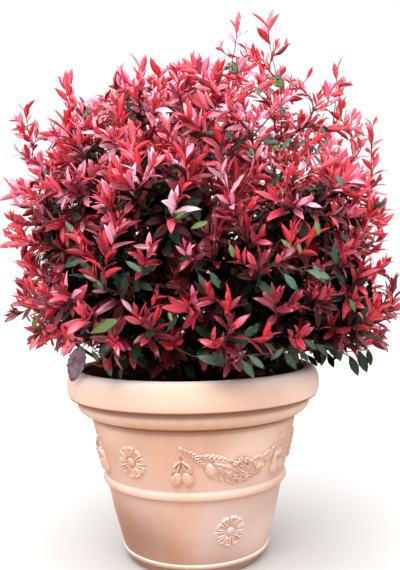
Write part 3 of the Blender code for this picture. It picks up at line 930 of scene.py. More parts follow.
    def patch(self, name: str, node: str, corners: tuple[Pair, Pair], shapes: list[Shape]) -> Piece:
        """Model one piece of relief over a stretch of the wall.

        Args:
            name: name of the piece.
            node: the CAD node that it stands for.
            corners: lowest and highest (bearing, height) that it may cover.
            shapes: what is carved there.

        Returns:
            The finished piece, bent to the wall and let into it.
        """
        (left, bottom), (right, top) = corners
        wide = math.radians(right - left) * float(self.planter.wall_radius((bottom + top) / 2))
        fresh()
        columns, rows = round(wide / self.cell), round((top - bottom) / self.cell)
        bpy.ops.mesh.primitive_grid_add(x_subdivisions=columns, y_subdivisions=rows, size=2.0)
        obj = bpy.context.active_object
        obj.name = name
        flat = points_of(obj)
        grid = (left + (right - left) * (flat[:, 0] + 1) / 2, bottom + (top - bottom) * (flat[:, 1] + 1) / 2)
        lifts = np.full(len(flat), -1.0)
        for shape in shapes:
            lifts = np.maximum(lifts, shape.lifts(self, grid))
        inside = lifts > -0.5
        lifts = np.where(inside, lifts, -self.sunk)
        self.recess(obj, lifts)
        keep = inside.copy()
        for edge in obj.data.edges:
            one, two = edge.vertices
            if inside[one] or inside[two]:
                keep[one] = keep[two] = True
        move_points(obj, np.column_stack((grid[0], grid[1], lifts)))
        bpy.context.view_layer.objects.active = obj
        bpy.ops.object.mode_set(mode="EDIT")
        bpy.ops.mesh.select_all(action="DESELECT")
        bpy.ops.mesh.select_mode(type="VERT")
        bpy.ops.object.mode_set(mode="OBJECT")
        obj.data.vertices.foreach_set("select", ~keep)
        bpy.ops.object.mode_set(mode="EDIT")
        bpy.ops.mesh.delete(type="VERT")
        bpy.ops.mesh.select_mode(type="EDGE")
        bpy.ops.mesh.select_all(action="DESELECT")
        bpy.ops.mesh.select_non_manifold()
        bpy.ops.mesh.extrude_region_move(TRANSFORM_OT_translate={"value": (0.0, 0.0, -self.seat)})
        bpy.ops.mesh.fill(use_beauty=False)
        bpy.ops.mesh.select_all(action="SELECT")
        bpy.ops.mesh.normals_make_consistent(inside=False)
        bpy.ops.object.mode_set(mode="OBJECT")
        bent = points_of(obj)
        angle = np.radians(bent[:, 0])
        radius = self.planter.wall_radius(bent[:, 1]) + bent[:, 2]
        move_points(obj, np.column_stack((radius * np.sin(angle), -radius * np.cos(angle), bent[:, 1])))
        smooth_shaded(obj, 60.0)
        return dress(obj, [self.finish], [node])

    def recess(self, obj: Piece, lifts: Array) -> None:
        """Keep on each vertex how far it lies below the relief around it, for the finish to darken as
        painted shade.

        Args:
            obj: the flat grid that becomes the relief.
            lifts: height over the wall at each of its vertices.
        """
        flat = points_of(obj)
        columns = len(np.unique(np.round(flat[:, 0], 5)))
        order = np.lexsort((flat[:, 0], flat[:, 1]))
        rows = lifts[order].reshape(-1, columns)
        around = np.pad(np.maximum(rows, 0.0), self.blur, mode="edge")
        for axis in (0, 1):
            sums = np.cumsum(np.insert(around, 0, 0.0, axis=axis), axis=axis)
            wide = 2 * self.blur + 1
            ends = np.take(sums, range(wide, sums.shape[axis]), axis=axis)
            around = (ends - np.take(sums, range(0, sums.shape[axis] - wide), axis=axis)) / wide
        low = np.clip((around - rows) / self.recess_depth, 0.0, 1.0)
        kept = np.empty(len(flat))
        kept[order] = low.ravel()
        layer = obj.data.attributes.new("recess", "FLOAT", "POINT")
        layer.data.foreach_set("value", kept)

    def build(self) -> None:
        """Model one of each piece of relief, and its copies round the wall."""
        firsts = [("garland_relief", "garland", self.garland_corners, self.garland())]
        for level, place, half in (
            ("upper", self.upper_rosette, self.upper_half),
            ("lower", self.lower_rosette, self.lower_half),
        ):
            corners = tuple(np.subtract(place, half)), tuple(np.add(place, half))
            firsts.append((f"{level}_rosette_relief", f"{level}_rosette", corners, [Rosette(*place)]))
        for side, stud in (("left", self.middle - self.stud_gap), ("right", self.middle + self.stud_gap)):
            (low, high), half = self.pendant_levels, self.pendant_half
            corners = (stud - half, low), (stud + half, high)
            firsts.append((f"{side}_pendant_relief", f"pendant_{side}", corners, self.pendant(stud)))
        for name, node, corners, shapes in firsts:
            first = self.patch(f"{name}_0", f"{node}_0", corners, shapes)
            for index in range(1, self.repeat):
                copy = bpy.data.objects.new(f"{name}_{index}", first.data.copy())
                bpy.context.scene.collection.objects.link(copy)
                copy.data.transform(Matrix.Rotation(math.tau * index / self.repeat, 4, "Z"))
                dress(copy, [self.finish], [f"{node}_{index}"])


# --- compost ---------------------------------------------------------------------------------------


@dataclass
class Compost:
    """The compost that fills the planter, with clods and crumbs on top."""

    finish: Finish
    sides: int = 96
    low_height: float = 0.54
    top_height: float = 0.552
    lump: float = 0.006
    lumps: Stops = ((14.0, 1.0), (45.0, 0.6), (110.0, 0.3))
    fade_span: Pair = (0.305, 0.335)
    flat_radius: float = 0.3
    brim: Stops = ((0.318, 0.55), (0.333, 0.546))
    walls: Stops = ((0.2975, 0.47), (0.2046, 0.0353), (0.0, 0.0353))
    crumbs: int = 420
    crumb_ring: float = 0.31
    seed: int = 5

    def build(self) -> None:
        """Turn the filling, roughen its top and strew crumbs on it."""
        rings = [(radius, self.top_height) for radius in np.linspace(0.0, self.flat_radius, 26)]
        body = turned("compost_fill", [*rings, *self.brim, *self.walls], self.sides)
        places = points_of(body)
        top = places[:, 2] > self.low_height
        fade = 1.0 - smoothstep(*self.fade_span, np.hypot(places[:, 0], places[:, 1]))
        for index in np.nonzero(top)[0]:
            spot = Vector(places[index])
            rough = sum(weight * noise.noise(spot * scale) for scale, weight in self.lumps)
            places[index, 2] += self.lump * rough * fade[index]
        move_points(body, places)
        smooth_shaded(body, 50.0)
        dress(body, [self.finish], ["soil"])
        self.strew()

    def strew(self) -> None:
        """Join many small crumbs, each a squashed copy of one lump."""
        fresh()
        bpy.ops.mesh.primitive_ico_sphere_add(subdivisions=1, radius=1.0, location=(0.0, 0.0, 0.0))
        lump = bpy.context.active_object
        shape = points_of(lump)
        corners = np.array([face.vertices[:] for face in lump.data.polygons])
        bpy.data.objects.remove(lump, do_unlink=True)
        dice = np.random.default_rng(self.seed)
        places, faces = [], []
        for index in range(self.crumbs):
            radius = self.crumb_ring * math.sqrt(dice.random())
            spot = on_bearing(360.0 * dice.random(), radius, self.top_height + 0.001)
            size = 0.0018 + 0.0045 * dice.random() ** 3
            squashed = shape * (size * (0.7 + 0.6 * dice.random(3)))
            places.append(squashed * (0.8 + 0.4 * dice.random((len(shape), 1))) + spot)
            faces.append(corners + index * len(shape))
        joined = MeshArrays("compost_crumbs")
        joined.add(np.concatenate(places), np.concatenate(faces), 0)
        dress(joined.make(smooth=False), [self.finish])


class MeshArrays:
    """A mesh gathered from arrays: many small shapes that are joined into one piece."""

    def __init__(self, name: str) -> None:
        """Start an empty mesh of a name."""
        self.name = name
        self.places: list[Array] = []
        self.faces: list[Array] = []
        self.kinds: list[Array] = []
        self.count = 0

    def add(self, places: Array, faces: Array, kind: int | Array) -> None:
        """Add vertices, faces of one corner count, and their material indices."""
        self.places.append(places)
        self.faces.append(faces + self.count)
        self.kinds.append(np.broadcast_to(kind, len(faces)))
        self.count += len(places)

    def make(self, smooth: bool) -> Piece:
        """The joined object."""
        mesh = bpy.data.meshes.new(self.name)
        corners = np.concatenate([faces.ravel() for faces in self.faces]).astype(np.int32)
        totals = np.concatenate([np.full(len(faces), faces.shape[1]) for faces in self.faces])
        starts = np.concatenate(([0], np.cumsum(totals)[:-1]))
        mesh.vertices.add(self.count)
        mesh.vertices.foreach_set("co", np.concatenate(self.places).astype(np.float32).ravel())
        mesh.loops.add(len(corners))
        mesh.loops.foreach_set("vertex_index", corners)
        mesh.polygons.add(len(totals))
        mesh.polygons.foreach_set("loop_start", starts.astype(np.int32))
        mesh.polygons.foreach_set("material_index", np.concatenate(self.kinds).astype(np.int32))
        mesh.polygons.foreach_set("use_smooth", np.full(len(totals), smooth))
        mesh.update(calc_edges=True)
        mesh.validate()
        obj = bpy.data.objects.new(self.name, mesh)
        bpy.context.scene.collection.objects.link(obj)
        return obj


# --- limbs -----------------------------------------------------------------------------------------


@dataclass
class Limb:
    """A stem or bough with the relief of its bark."""

    node: str
    route: Array
    radii: Array
    relief: float = 0.07

    def build(self, finish: Finish) -> None:
        """Draw the limb as a round curve, turn it into a mesh and raise its bark."""
        fresh()
        bpy.ops.curve.primitive_bezier_curve_add(location=(0.0, 0.0, 0.0))
        obj = bpy.context.active_object
        obj.name = f"{self.node}_bark"
        curve = obj.data
        curve.splines.clear()
        spline = curve.splines.new("POLY")
        spline.points.add(len(self.route) - 1)
        for point, place, radius in zip(spline.points, self.route, self.radii):
            point.co = (*place, 1.0)
            point.radius = radius
        curve.dimensions = "3D"
        curve.bevel_depth = 1.0
        curve.bevel_resolution = 5
        curve.use_fill_caps = True
        bpy.ops.object.convert(target="MESH")
        obj = bpy.context.active_object
        self.raise_bark(obj)
        smooth_shaded(obj, 70.0)
        dress(obj, [finish], [self.node])

    def raise_bark(self, obj: Piece) -> None:
        """Push the surface in and out: ridges along the limb, and lumps where twigs once grew."""
        places = points_of(obj)
        gaps = np.linalg.norm(places[:, None] - self.route[None], axis=2)
        nearest = gaps.argmin(1)
        level = (places[:, 2] > self.route[0, 2] + 0.002) | (nearest > 0)
        for index in np.nonzero(level)[0]:
            core = self.route[nearest[index]]
            out = places[index] - core
            way = Vector(out / max(np.linalg.norm(out), 1e-9))
            rings = float(nearest[index])
            ridge = noise.noise(Vector((way.x * 3.0, way.y * 3.0, way.z * 3.0 + rings * 0.1)))
            knot = noise.noise(Vector((way.x, way.y, rings * 0.35 + 7.0)))
            places[index] = core + out * (1.0 + self.relief * (1.2 * ridge + 1.4 * max(knot, 0.0)))
        move_points(obj, places)


@dataclass(frozen=True)
class Tier:
    """A ring of foliage masses, as the model places them."""

    count: int
    ring: float
    height: float
    bearing: float
    tilt: float


@dataclass
class Frame:
    """Stem and boughs of the shrub, on the routes that the model gives them."""

    finish: Finish
    centre: Pair = (0.038, 0.0)
    spread: Pair = (1.1, 0.96)
    soil: float = 0.5543
    foot: float = 0.023
    flare: float = 0.034
    flare_height: float = 0.05
    tip: float = 0.009
    stem_points: tuple[Triple, ...] = (
        (0.0, 0.0, 0.5543), (0.001, 0.0, 0.605), (0.016, 0.006, 0.9), (0.035, 0.01, 1.285),
    )
    tiers: dict[str, Tier] = field(
        default_factory=lambda: {
            "low": Tier(6, 0.355, 0.835, 20.0, 0.09),
            "middle": Tier(7, 0.36, 1.085, 38.0, 0.0),
            "upper": Tier(6, 0.285, 1.305, 8.0, 0.0),
        }
    )
    whorls: tuple[tuple[str, float, float, float, float, tuple[int, ...]], ...] = (
        ("low", 0.625, 0.0105, 0.006, -0.02, (0, 2, 4)), ("middle", 0.69, 0.0115, 0.0065, -0.03, (0, 2, 5)),
        ("upper", 0.78, 0.011, 0.006, -0.04, (1, 3, 5)),
    )
    low_boughs: tuple[tuple[str, tuple[Triple, ...]], ...] = (
        ("low_left_bough", (
            (0.0, 0.0, 0.572), (-0.15, -0.085, 0.578), (-0.285, -0.112, 0.628), (-0.39, -0.124, 0.706),
        )),
        ("low_right_bough", (
            (0.0, 0.0, 0.585), (0.16, -0.04, 0.598), (0.3, -0.055, 0.625), (0.415, -0.062, 0.652),
        )),
    )
    low_radii: Pair = (0.007, 0.004)
    bend: float = 0.3
    end: float = 0.62

    def stem(self) -> Limb:
        """The main stem, flared where it meets the compost."""
        route = smooth_route(self.stem_points, 26)
        rise = route[:, 2] - self.soil
        share = rise / (self.stem_points[-1][2] - self.soil)
        flare = np.clip(1.0 - rise / self.flare_height, 0.0, None) ** 2 * (self.flare - self.foot)
        return Limb("main_stem", route, self.foot + (self.tip - self.foot) * share + flare)

    def boughs(self) -> list[Limb]:
        """The boughs, each from the stem to where it enters its mass."""
        found = []
        for tier_name, height, base, tip, sag, chosen in self.whorls:
            tier = self.tiers[tier_name]
            rough = smooth_route(self.stem_points, 3)
            root = rough[np.abs(rough[:, 2] - height).argmin()].copy()
            root[2] = height
            for index in chosen:
                offset = on_bearing(tier.bearing + 360.0 * index / tier.count, tier.ring, 0.0)
                mass = np.array((*(np.array(self.centre) + offset[:2] * self.spread), tier.height))
                mass[2] -= tier.tilt * mass[0]
                aim = mass - root
                points = (root, root + aim * self.bend + np.array((0.0, 0.0, sag)), root + aim * self.end)
                found.append(self.bough(f"{tier_name}_bough_{index}", points, base, tip))
        for name, points in self.low_boughs:
            found.append(self.bough(name, points, *self.low_radii))
        return found

    def bough(self, name: str, points: Sequence[Sequence[float]], base: float, tip: float) -> Limb:
        """One tapering bough through a few points."""
        route = smooth_route(points, 18)
        return Limb(name, route, np.linspace(base, tip, len(route)))

    def build(self) -> list[Limb]:
        """Model every limb, and return them, stem first."""
        stem = self.stem()
        limbs = [stem, *self.boughs()]
        for limb in limbs:
            limb.build(self.finish)
        return limbs


# --- crown -----------------------------------------------------------------------------------------


@dataclass
class Volume:
    """The space of one foliage mass, as packed."""

    name: str
    centre: Array
    reach: float
    tree: BVHTree
    upper_from = 1.22

    @classmethod
    def of(cls, name: str, obj: Piece) -> Volume:
        """Read the volume of a CAD node."""
        places = points_of(obj)
        centre = (places.max(0) + places.min(0)) / 2
        reach = float(np.linalg.norm(places - centre, axis=1).max())
        corners = [tuple(place) for place in places]
        tree = BVHTree.FromPolygons(corners, [tuple(face.vertices) for face in obj.data.polygons])
        return cls(name, centre, reach, tree)

    @property
    def tier(self) -> str:
        """The tier of the crown that it belongs to."""
        head = self.name.split("_")[0]
        if head in ("low", "middle", "upper"):
            return head
        return "upper" if self.centre[2] > self.upper_from else "middle"

    @property
    def is_shoot(self) -> bool:
        """Whether it is a slender leader or spray."""
        return any(word in self.name for word in ("leader", "shoot", "spray"))

    def surface(self, way: Array) -> Array | None:
        """Where a line from the centre leaves the volume."""
        hit = self.tree.ray_cast(Vector(self.centre), Vector(way))
        return None if hit[0] is None else np.array(hit[0])

    def first_seen(self, start: Array, way: Array) -> float | None:
        """How far along a line the volume begins."""
        hit = self.tree.ray_cast(Vector(start), Vector(way))
        return hit[3]

    def holds(self, place: Array) -> bool:
        """Whether a place is inside the volume."""
        way = place - self.centre
        length = float(np.linalg.norm(way))
        if length > self.reach:
            return False
        edge = self.surface(way / max(length, 1e-9))
        return edge is not None and length < float(np.linalg.norm(edge - self.centre))


@dataclass(frozen=True)
class Eye:
    """Where the camera stands and how it looks; angles in degrees, lens in millimetres."""

    place: Triple = (0.0, -2.1309, 0.8589)
    yaw: float = 0.742
    pitch: float = -0.265
    roll: float = -1.106
    lens: float = 41.68
    sensor: float = 36.0
    picture: Pair = (400.0, 570.0)

    def axes(self) -> Array:
        """Rows: the way to the right of the picture, its upward way, and the way ahead."""
        yaw, pitch, roll = (math.radians(angle) for angle in (self.yaw, self.pitch, self.roll))
        ahead = np.array((math.sin(yaw) * math.cos(pitch), math.cos(yaw) * math.cos(pitch), math.sin(pitch)))
        right = np.array((math.cos(yaw), -math.sin(yaw), 0.0))
        over = np.cross(right, ahead)
        across = math.cos(roll) * right + math.sin(roll) * over
        return np.stack((across, math.cos(roll) * over - math.sin(roll) * right, ahead))

    def way(self, across: float, down: float) -> Array:
        """The way from the camera through a point of the picture."""
        focus = self.lens / self.sensor * self.picture[1]
        offset = np.array((across - self.picture[0] / 2, self.picture[1] / 2 - down, focus))
        return unit(offset @ self.axes())

    def at_depth(self, across: float, down: float, depth: float) -> Array:
        """The point seen at a point of the picture, on the upright plane y = depth."""
        way = self.way(across, down)
        return np.array(self.place) + way * ((depth - self.place[1]) / way[1])


class Habit(Enum):
    """How a shoot bears its leaves: leaf length, young and older leaves, gaps and leans at tip and foot."""

    USUAL = (0.056, 9, 3, 0.0048, 0.015, 12.0, 48.0)
    BOLD = (0.064, 8, 3, 0.0054, 0.016, 14.0, 52.0)
    LEADER = (0.051, 12, 0, 0.007, 0.02, 14.0, 46.0)
    SPIRE = (0.062, 6, 0, 0.005, 0.042, 22.0, 50.0)
    OPEN = (0.048, 11, 1, 0.005, 0.016, 12.0, 48.0)
    SHADED = (0.074, 1, 8, 0.008, 0.017, 40.0, 80.0)
    BARE = (0.01, 0, 0, 0.01, 0.01, 0.0, 0.0)


Tip = tuple[Array, Array, str, Habit]


@dataclass
class Twig:
    """A run of growth: its points, its radii, and whether it bears leaves."""

    route: Array
    tier: str
    habit: Habit
    vigour: float
    radii: Array = field(default_factory=lambda: np.zeros(0))


class Skeleton:
    """Points of growth, each with its parent, that twigs are added to one by one."""

    room = 60000
    spire_rise = 0.2
    least_gap = 0.045
    least_turn = 0.05
    turn_cost = 0.7
    arrive_cost = 0.8
    length_cost = 0.1
    leaving = 0.45
    aiming = 0.8
    arriving = 0.85
    step = 0.02
    closed = (0.055, 0.45)
    carried = 0.00006
    thickest = 0.0044
    foot_swell = 0.0004

    def __init__(self) -> None:
        """Start with no growth."""
        self.places = np.zeros((self.room, 3))
        self.ways = np.zeros((self.room, 3))
        self.lengths = np.zeros(self.room)
        self.parents = np.full(self.room, -1)
        self.open = np.zeros(self.room, bool)
        self.count = 0
        self.twigs: list[Twig] = []
        self.twig_points: list[Array] = []

    def add(self, route: Array, parent: int, bare: Array) -> Array:
        """Add a run of points.

        Args:
            route: places, the first one next after the parent.
            parent: index of the point that it grows from, or -1.
            bare: for each point, whether later growth may start there.

        Returns:
            The indices of the new points.
        """
        first, last = self.count, self.count + len(route)
        self.places[first:last] = route
        before = np.vstack((self.places[parent] if parent >= 0 else route[0], route[:-1]))
        steps = route - before
        self.ways[first:last] = unit(steps)
        if parent < 0:
            self.ways[first] = self.ways[first + 1]
        start = self.lengths[parent] if parent >= 0 else 0.0
        self.lengths[first:last] = start + np.cumsum(np.linalg.norm(steps, axis=1))
        self.parents[first:last] = np.arange(first - 1, last - 1)
        self.parents[first] = parent
        self.open[first:last] = bare
        self.count = last
        return np.arange(first, last)

    def start_for(self, tip: Array, heading: Array) -> int:
        """The point that growth towards a tip starts from: near, on the way, and not turning back."""
        used = slice(0, self.count)
        gap = tip - self.places[used]
        far = np.linalg.norm(gap, axis=1)
        way = gap / np.maximum(far, 1e-9)[:, None]
        turn = (way * self.ways[used]).sum(1)
        arrive = way @ heading
        cost = far * (1.0 + self.turn_cost * (1.0 - turn))
        cost *= 1.0 + self.arrive_cost * np.clip(0.5 - arrive, 0.0, None)
        cost += self.length_cost * self.lengths[used]
        cost[(~self.open[used]) | (far < self.least_gap) | (turn < self.least_turn)] = np.inf
        return int(cost.argmin())

    def grow(self, tip: Array, heading: Array, tier: str, habit: Habit, vigour: float, bow: Array) -> None:
        """Grow a twig to a tip.

        Args:
            tip: where it ends.
            heading: its direction there.
            tier: tier of the crown that it belongs to.
            habit: how it bears its leaves.
            vigour: size of its leaves, 1 for the usual.
            bow: a small sideways bend.
        """
        below = self.spire_rise if habit is Habit.SPIRE else 0.0
        start = self.start_for(tip - heading * below, heading)
        foot = self.places[start]
        gap = tip - foot
        far = float(np.linalg.norm(gap))
        leave = unit(self.leaving * self.ways[start] + self.aiming * gap / far) * far
        arrive = heading * far * self.arriving
        steps = max(4, round(far / self.step))
        t = (np.arange(1, steps + 1) / steps)[:, None]
        route = (2 * t**3 - 3 * t**2 + 1) * foot + (t**3 - 2 * t**2 + t) * leave
        route += (3 * t**2 - 2 * t**3) * tip + (t**3 - t**2) * arrive + 4.0 * t * (1.0 - t) * bow * far
        left = far * (1.0 - t[:, 0])
        indices = self.add(route, start, left > min(self.closed[0], self.closed[1] * far))
        self.twigs.append(Twig(np.vstack((foot, route)), tier, habit, vigour))
        self.twig_points.append(indices)

    def thicken(self, tip: float, power: float) -> None:
        """Work out every radius from what each point carries."""
        load = np.zeros(self.count)
        for indices in self.twig_points:
            load[indices[-1]] = tip**power
        for index in range(self.count - 1, -1, -1):
            own = load[index] + self.carried**power
            parent = self.parents[index]
            if parent >= 0:
                load[parent] += own
        radii = load ** (1.0 / power)
        for twig, indices in zip(self.twigs, self.twig_points):
            run = np.minimum(radii[indices], self.thickest)
            twig.radii = np.concatenate(([run[0]], run)) + np.linspace(self.foot_swell, 0.0, len(run) + 1)


@dataclass
class LeafShape:
    """Outline and bends of a leaf blade, in lengths of the blade."""

    stations: tuple[float, ...] = (-0.09, 0.09, 0.31, 0.56, 0.8)
    widths: tuple[float, ...] = (0.07, 0.52, 0.95, 1.0, 0.6)
    half_width: float = 0.185
    fold: float = 0.42
    arch: float = 0.16
    wave: float = 0.01
    phase: float = 0.0
    thickness: float = 0.008

    @property
    def faces(self) -> tuple[Array, Array, Array, Array]:
        """Upper quads, upper tip triangles, under quads and under tip triangles."""
        rows = len(self.stations)
        tip = 5 * rows
        under = tip + 1
        upper = [
            (5 * row + side, 5 * row + side + 1, 5 * row + side + 6, 5 * row + side + 5)
            for row in range(rows - 1)
            for side in range(4)
        ]
        top_end = [(5 * (rows - 1) + side, 5 * (rows - 1) + side + 1, tip) for side in range(4)]
        lower = []
        for row in range(rows - 1):
            low, high = 5 * row, 5 * row + 5
            lower.append((under + row, low, high, under + row + 1))
            lower.append((low + 4, under + row, under + row + 1, high + 4))
        last = 5 * (rows - 1)
        low_end = [(under + rows - 1, last, tip), (last + 4, under + rows - 1, tip)]
        return np.array(upper), np.array(top_end), np.array(lower), np.array(low_end)

    def points(self) -> Array:
        """Vertices with the midrib along +Y and the upper face towards +Z."""
        places = []
        for station, width in zip(self.stations, self.widths):
            wide = self.half_width * width
            for side in (-1.0, -0.5, 0.0, 0.5, 1.0):
                rise = wide * abs(side) * self.fold * (1.15 - 0.35 * abs(side))
                ripple = self.wave * side * abs(side) * math.sin(math.tau * (1.4 * station + self.phase))
                places.append((wide * side, station, rise + ripple - self.arch * max(station, 0.0) ** 2))
        places.append((0.0, 1.0, -self.arch * 1.05))
        for station in self.stations:
            places.append((0.0, station, -self.thickness - self.arch * max(station, 0.0) ** 2))
        return np.array(places)


@dataclass
class LeafBatch:
    """Leaves of one tier and one kind, waiting to be joined."""

    places: list[Array] = field(default_factory=list)
    frames: list[Array] = field(default_factory=list)
    sizes: list[float] = field(default_factory=list)
    shapes: list[int] = field(default_factory=list)
    tints: list[Tint] = field(default_factory=list)

    def add(self, place: Array, ahead: Array, face: Array, size: float, shape: int, tint: Tint) -> None:
        """Add one leaf by its foot, the way it points and the way its upper face looks."""
        across = unit(np.cross(ahead, face))
        self.places.append(place)
        self.frames.append(np.column_stack((across, ahead, np.cross(across, ahead))))
        self.sizes.append(size)
        self.shapes.append(shape)
        self.tints.append(tint)


class Foliage:
    """The leaves of the shrub: how they sit on a shoot, how they are coloured and how they are joined."""

    per_piece = 2900
    # Depths past which unlit leaves take darker tints as painted shade, eased towards the top; inside the
    # skin dark leaves are turned red again.
    dim = 0.036
    dusk = 0.062
    airy = 1.0
    skin = 0.014
    rim_height = 0.618
    mouth = 0.325
    golden = math.radians(137.5)
    tip_lengths = (0.46, 0.7, 0.88, 0.98)

    def __init__(self, seed: int) -> None:
        """Make the leaf shapes that every leaf is a copy of."""
        self.dice = np.random.default_rng(seed)
        self.young = [self.varied(0.166, 0.3) for _ in range(8)]
        self.old = [self.varied(0.2, 0.18) for _ in range(6)]
        self.shapes = [shape.points() for shape in self.young + self.old]
        self.faces = LeafShape().faces
        self.batches: dict[tuple[str, bool], LeafBatch] = {}
        self.low = np.full(3, -np.inf)
        self.high = np.full(3, np.inf)
        self.depth_of: Callable[[Array], float] = lambda place: 0.0
        self.barred: Callable[[Array], bool] = lambda place: False

    def varied(self, half_width: float, fold: float) -> LeafShape:
        """One leaf shape with its own bends."""
        dice = self.dice
        return LeafShape(
            half_width=half_width * (0.9 + 0.2 * dice.random()),
            fold=fold * (0.6 + 1.1 * dice.random()),
            arch=-0.02 + 0.26 * dice.random(),
            wave=0.006 + 0.016 * dice.random(),
            phase=float(dice.random()),
        )

    def limit(self, low: Array, high: Array) -> None:
        """Keep every leaf inside a box."""
        self.low, self.high = low, high

    def put(
        self, tier: str, place: Array, ahead: Array, face: Array, size: float, tint: Tint, lit: bool
    ) -> None:
        """Put one leaf on the shrub, unless it would leave the box or lie over the rim."""
        end = place + ahead * size
        over_rim = end[2] < self.rim_height and np.hypot(end[0], end[1]) > self.mouth
        outside = (end < self.low).any() or (end > self.high).any()
        if outside or (not lit and (over_rim or self.barred(end) or self.barred(place))):
            return
        depth = self.depth_of(place + 0.6 * size * ahead) * (0.8 + 0.4 * self.dice.random())
        reach = 1.0 + self.airy * float(smoothstep(0.95, 1.35, np.array(place[2])))
        # Painted shade: unlit leaves deep in the crown take darker tints, and dark ones near its skin are
        # turned red again.
        if depth > self.dim * reach and not tint.is_green and not lit:
            tint = self.shaded_tint(place[2], depth > self.dusk * reach)
        if depth < self.skin and tint in (Tint.SHADE, Tint.MAROON) and not lit:
            tint = Tint.CRIMSON if self.dice.random() < 0.5 else Tint.WINE
        old = tint.is_green
        kinds = (len(self.young), len(self.shapes)) if old else (0, len(self.young))
        shape = int(self.dice.integers(*kinds))
        self.batches.setdefault((tier, old), LeafBatch()).add(place, ahead, face, size, shape, tint)

    def shaded_tint(self, height: float, deep: bool) -> Tint:
        """The colour of a red leaf inside the crown, darkened as painted shade: darker low down, and deeper
        in.
        """
        rise = float(smoothstep(0.92, 1.22, np.array(height)))
        chances = np.array((0.62, 0.36, 0.02)) * rise + np.array((0.05, 0.45, 0.5)) * (1.0 - rise)
        if deep:
            chances = np.array((0.3, 0.5, 0.2)) * rise + np.array((0.0, 0.25, 0.75)) * (1.0 - rise)
        kinds = (Tint.CRIMSON, Tint.WINE, Tint.MAROON) if not deep else (Tint.WINE, Tint.MAROON, Tint.SHADE)
        return kinds[int(self.dice.choice(3, p=chances))]

    def dress_shoot(self, twig: Twig, young: Sequence[Tint], older: Sequence[Tint]) -> None:
        """Set leaves in a spiral along the end of a twig, the youngest at its tip.

        Args:
            twig: the twig.
            young: colours of its young leaves, from the tip downwards.
            older: colours that its older leaves are chosen from.
        """
        dice = self.dice
        size, _, _, near, far, lean_tip, lean_base = twig.habit.value
        size *= twig.vigour
        route = twig.route[::-1]
        steps = np.linalg.norm(np.diff(route, axis=0), axis=1)
        along = np.concatenate(([0.0], np.cumsum(steps)))
        turn = math.tau * dice.random()
        reach = 0.0
        count = len(young) + twig.habit.value[2]
        for index in range(count):
            share = min(index / 8.0, 1.0)
            if reach > along[-1] - 0.004:
                break
            place = np.array([np.interp(reach, along, route[:, axis]) for axis in range(3)])
            step = min(int(np.searchsorted(along, reach, side="right")), len(route) - 1)
            axis = unit(route[step - 1] - route[step])
            side = unit(np.cross(axis, (0.31, 0.94, 0.12)))
            other = np.cross(axis, side)
            turn += self.golden + 0.3 * (dice.random() - 0.5)
            out = math.cos(turn) * side + math.sin(turn) * other
            lean = lean_tip + (lean_base - lean_tip) * share**0.7 + 14.0 * (dice.random() - 0.5)
            lean = math.radians(lean)
            ahead = unit(math.cos(lean) * axis + math.sin(lean) * out + 0.07 * dice.standard_normal(3))
            face = unit(axis - ahead * float(axis @ ahead) + 0.22 * dice.standard_normal(3))
            length = size * (0.86 + 0.24 * dice.random())
            if index < len(young):
                tint = young[index]
                if index < len(self.tip_lengths) and twig.habit is not Habit.SPIRE:
                    length *= self.tip_lengths[index]
            else:
                tint = older[int(dice.integers(len(older)))]
                ahead = unit(ahead - 0.35 * UP * dice.random())
                face = unit(face + 0.5 * UP)
            lit = twig.habit in (Habit.BOLD, Habit.SPIRE) and index < len(young)
            self.put(twig.tier, place + out * 0.0008, ahead, face, length, tint, lit)
            reach += near + (far - near) * share**0.8 * (0.8 + 0.4 * dice.random())

    def join(self, finishes: dict[str, list[str]]) -> None:
        """Join the leaves of each tier and kind, and let the red ones stand for the tier's masses.

        Args:
            finishes: for each tier, the CAD nodes that its leaves stand for.
        """
        LOG.info("%d leaves", sum(len(batch.places) for batch in self.batches.values()))
        for (tier, old), batch in sorted(self.batches.items()):
            kind = "green" if old else "red"
            for part, first in enumerate(range(0, len(batch.places), self.per_piece)):
                chosen = slice(first, first + self.per_piece)
                nodes = finishes[tier] if part == 0 and not old else []
                self.join_part(f"{tier}_{kind}_leaves_{part}", batch, chosen, nodes)

    def join_part(self, name: str, batch: LeafBatch, chosen: slice, nodes: list[str]) -> None:
        """Join one piece's worth of leaves."""
        tints = sorted(set(batch.tints[chosen]), key=lambda tint: tint.name)
        slots = {tint: 2 * index for index, tint in enumerate(tints)}
        finishes = [finish for tint in tints for finish in tint.finishes()]
        shapes = np.stack([self.shapes[index] for index in batch.shapes[chosen]])
        frames = np.stack(batch.frames[chosen])
        sizes = np.array(batch.sizes[chosen])[:, None, None]
        feet = np.stack(batch.places[chosen])[:, None, :]
        places = np.einsum("nij,nvj->nvi", frames, shapes) * sizes + feet
        count, corners = places.shape[:2]
        shift = (np.arange(count) * corners)[:, None, None]
        kinds = np.array([slots[tint] for tint in batch.tints[chosen]])
        joined = MeshArrays(name)
        joined.places.append(places.reshape(-1, 3))
        joined.count = count * corners
        for index, faces in enumerate(self.faces):
            joined.faces.append((faces[None] + shift).reshape(-1, faces.shape[1]))
            joined.kinds.append(np.repeat(kinds + (index > 1), len(faces)))
        dress(joined.make(smooth=True), finishes, nodes)


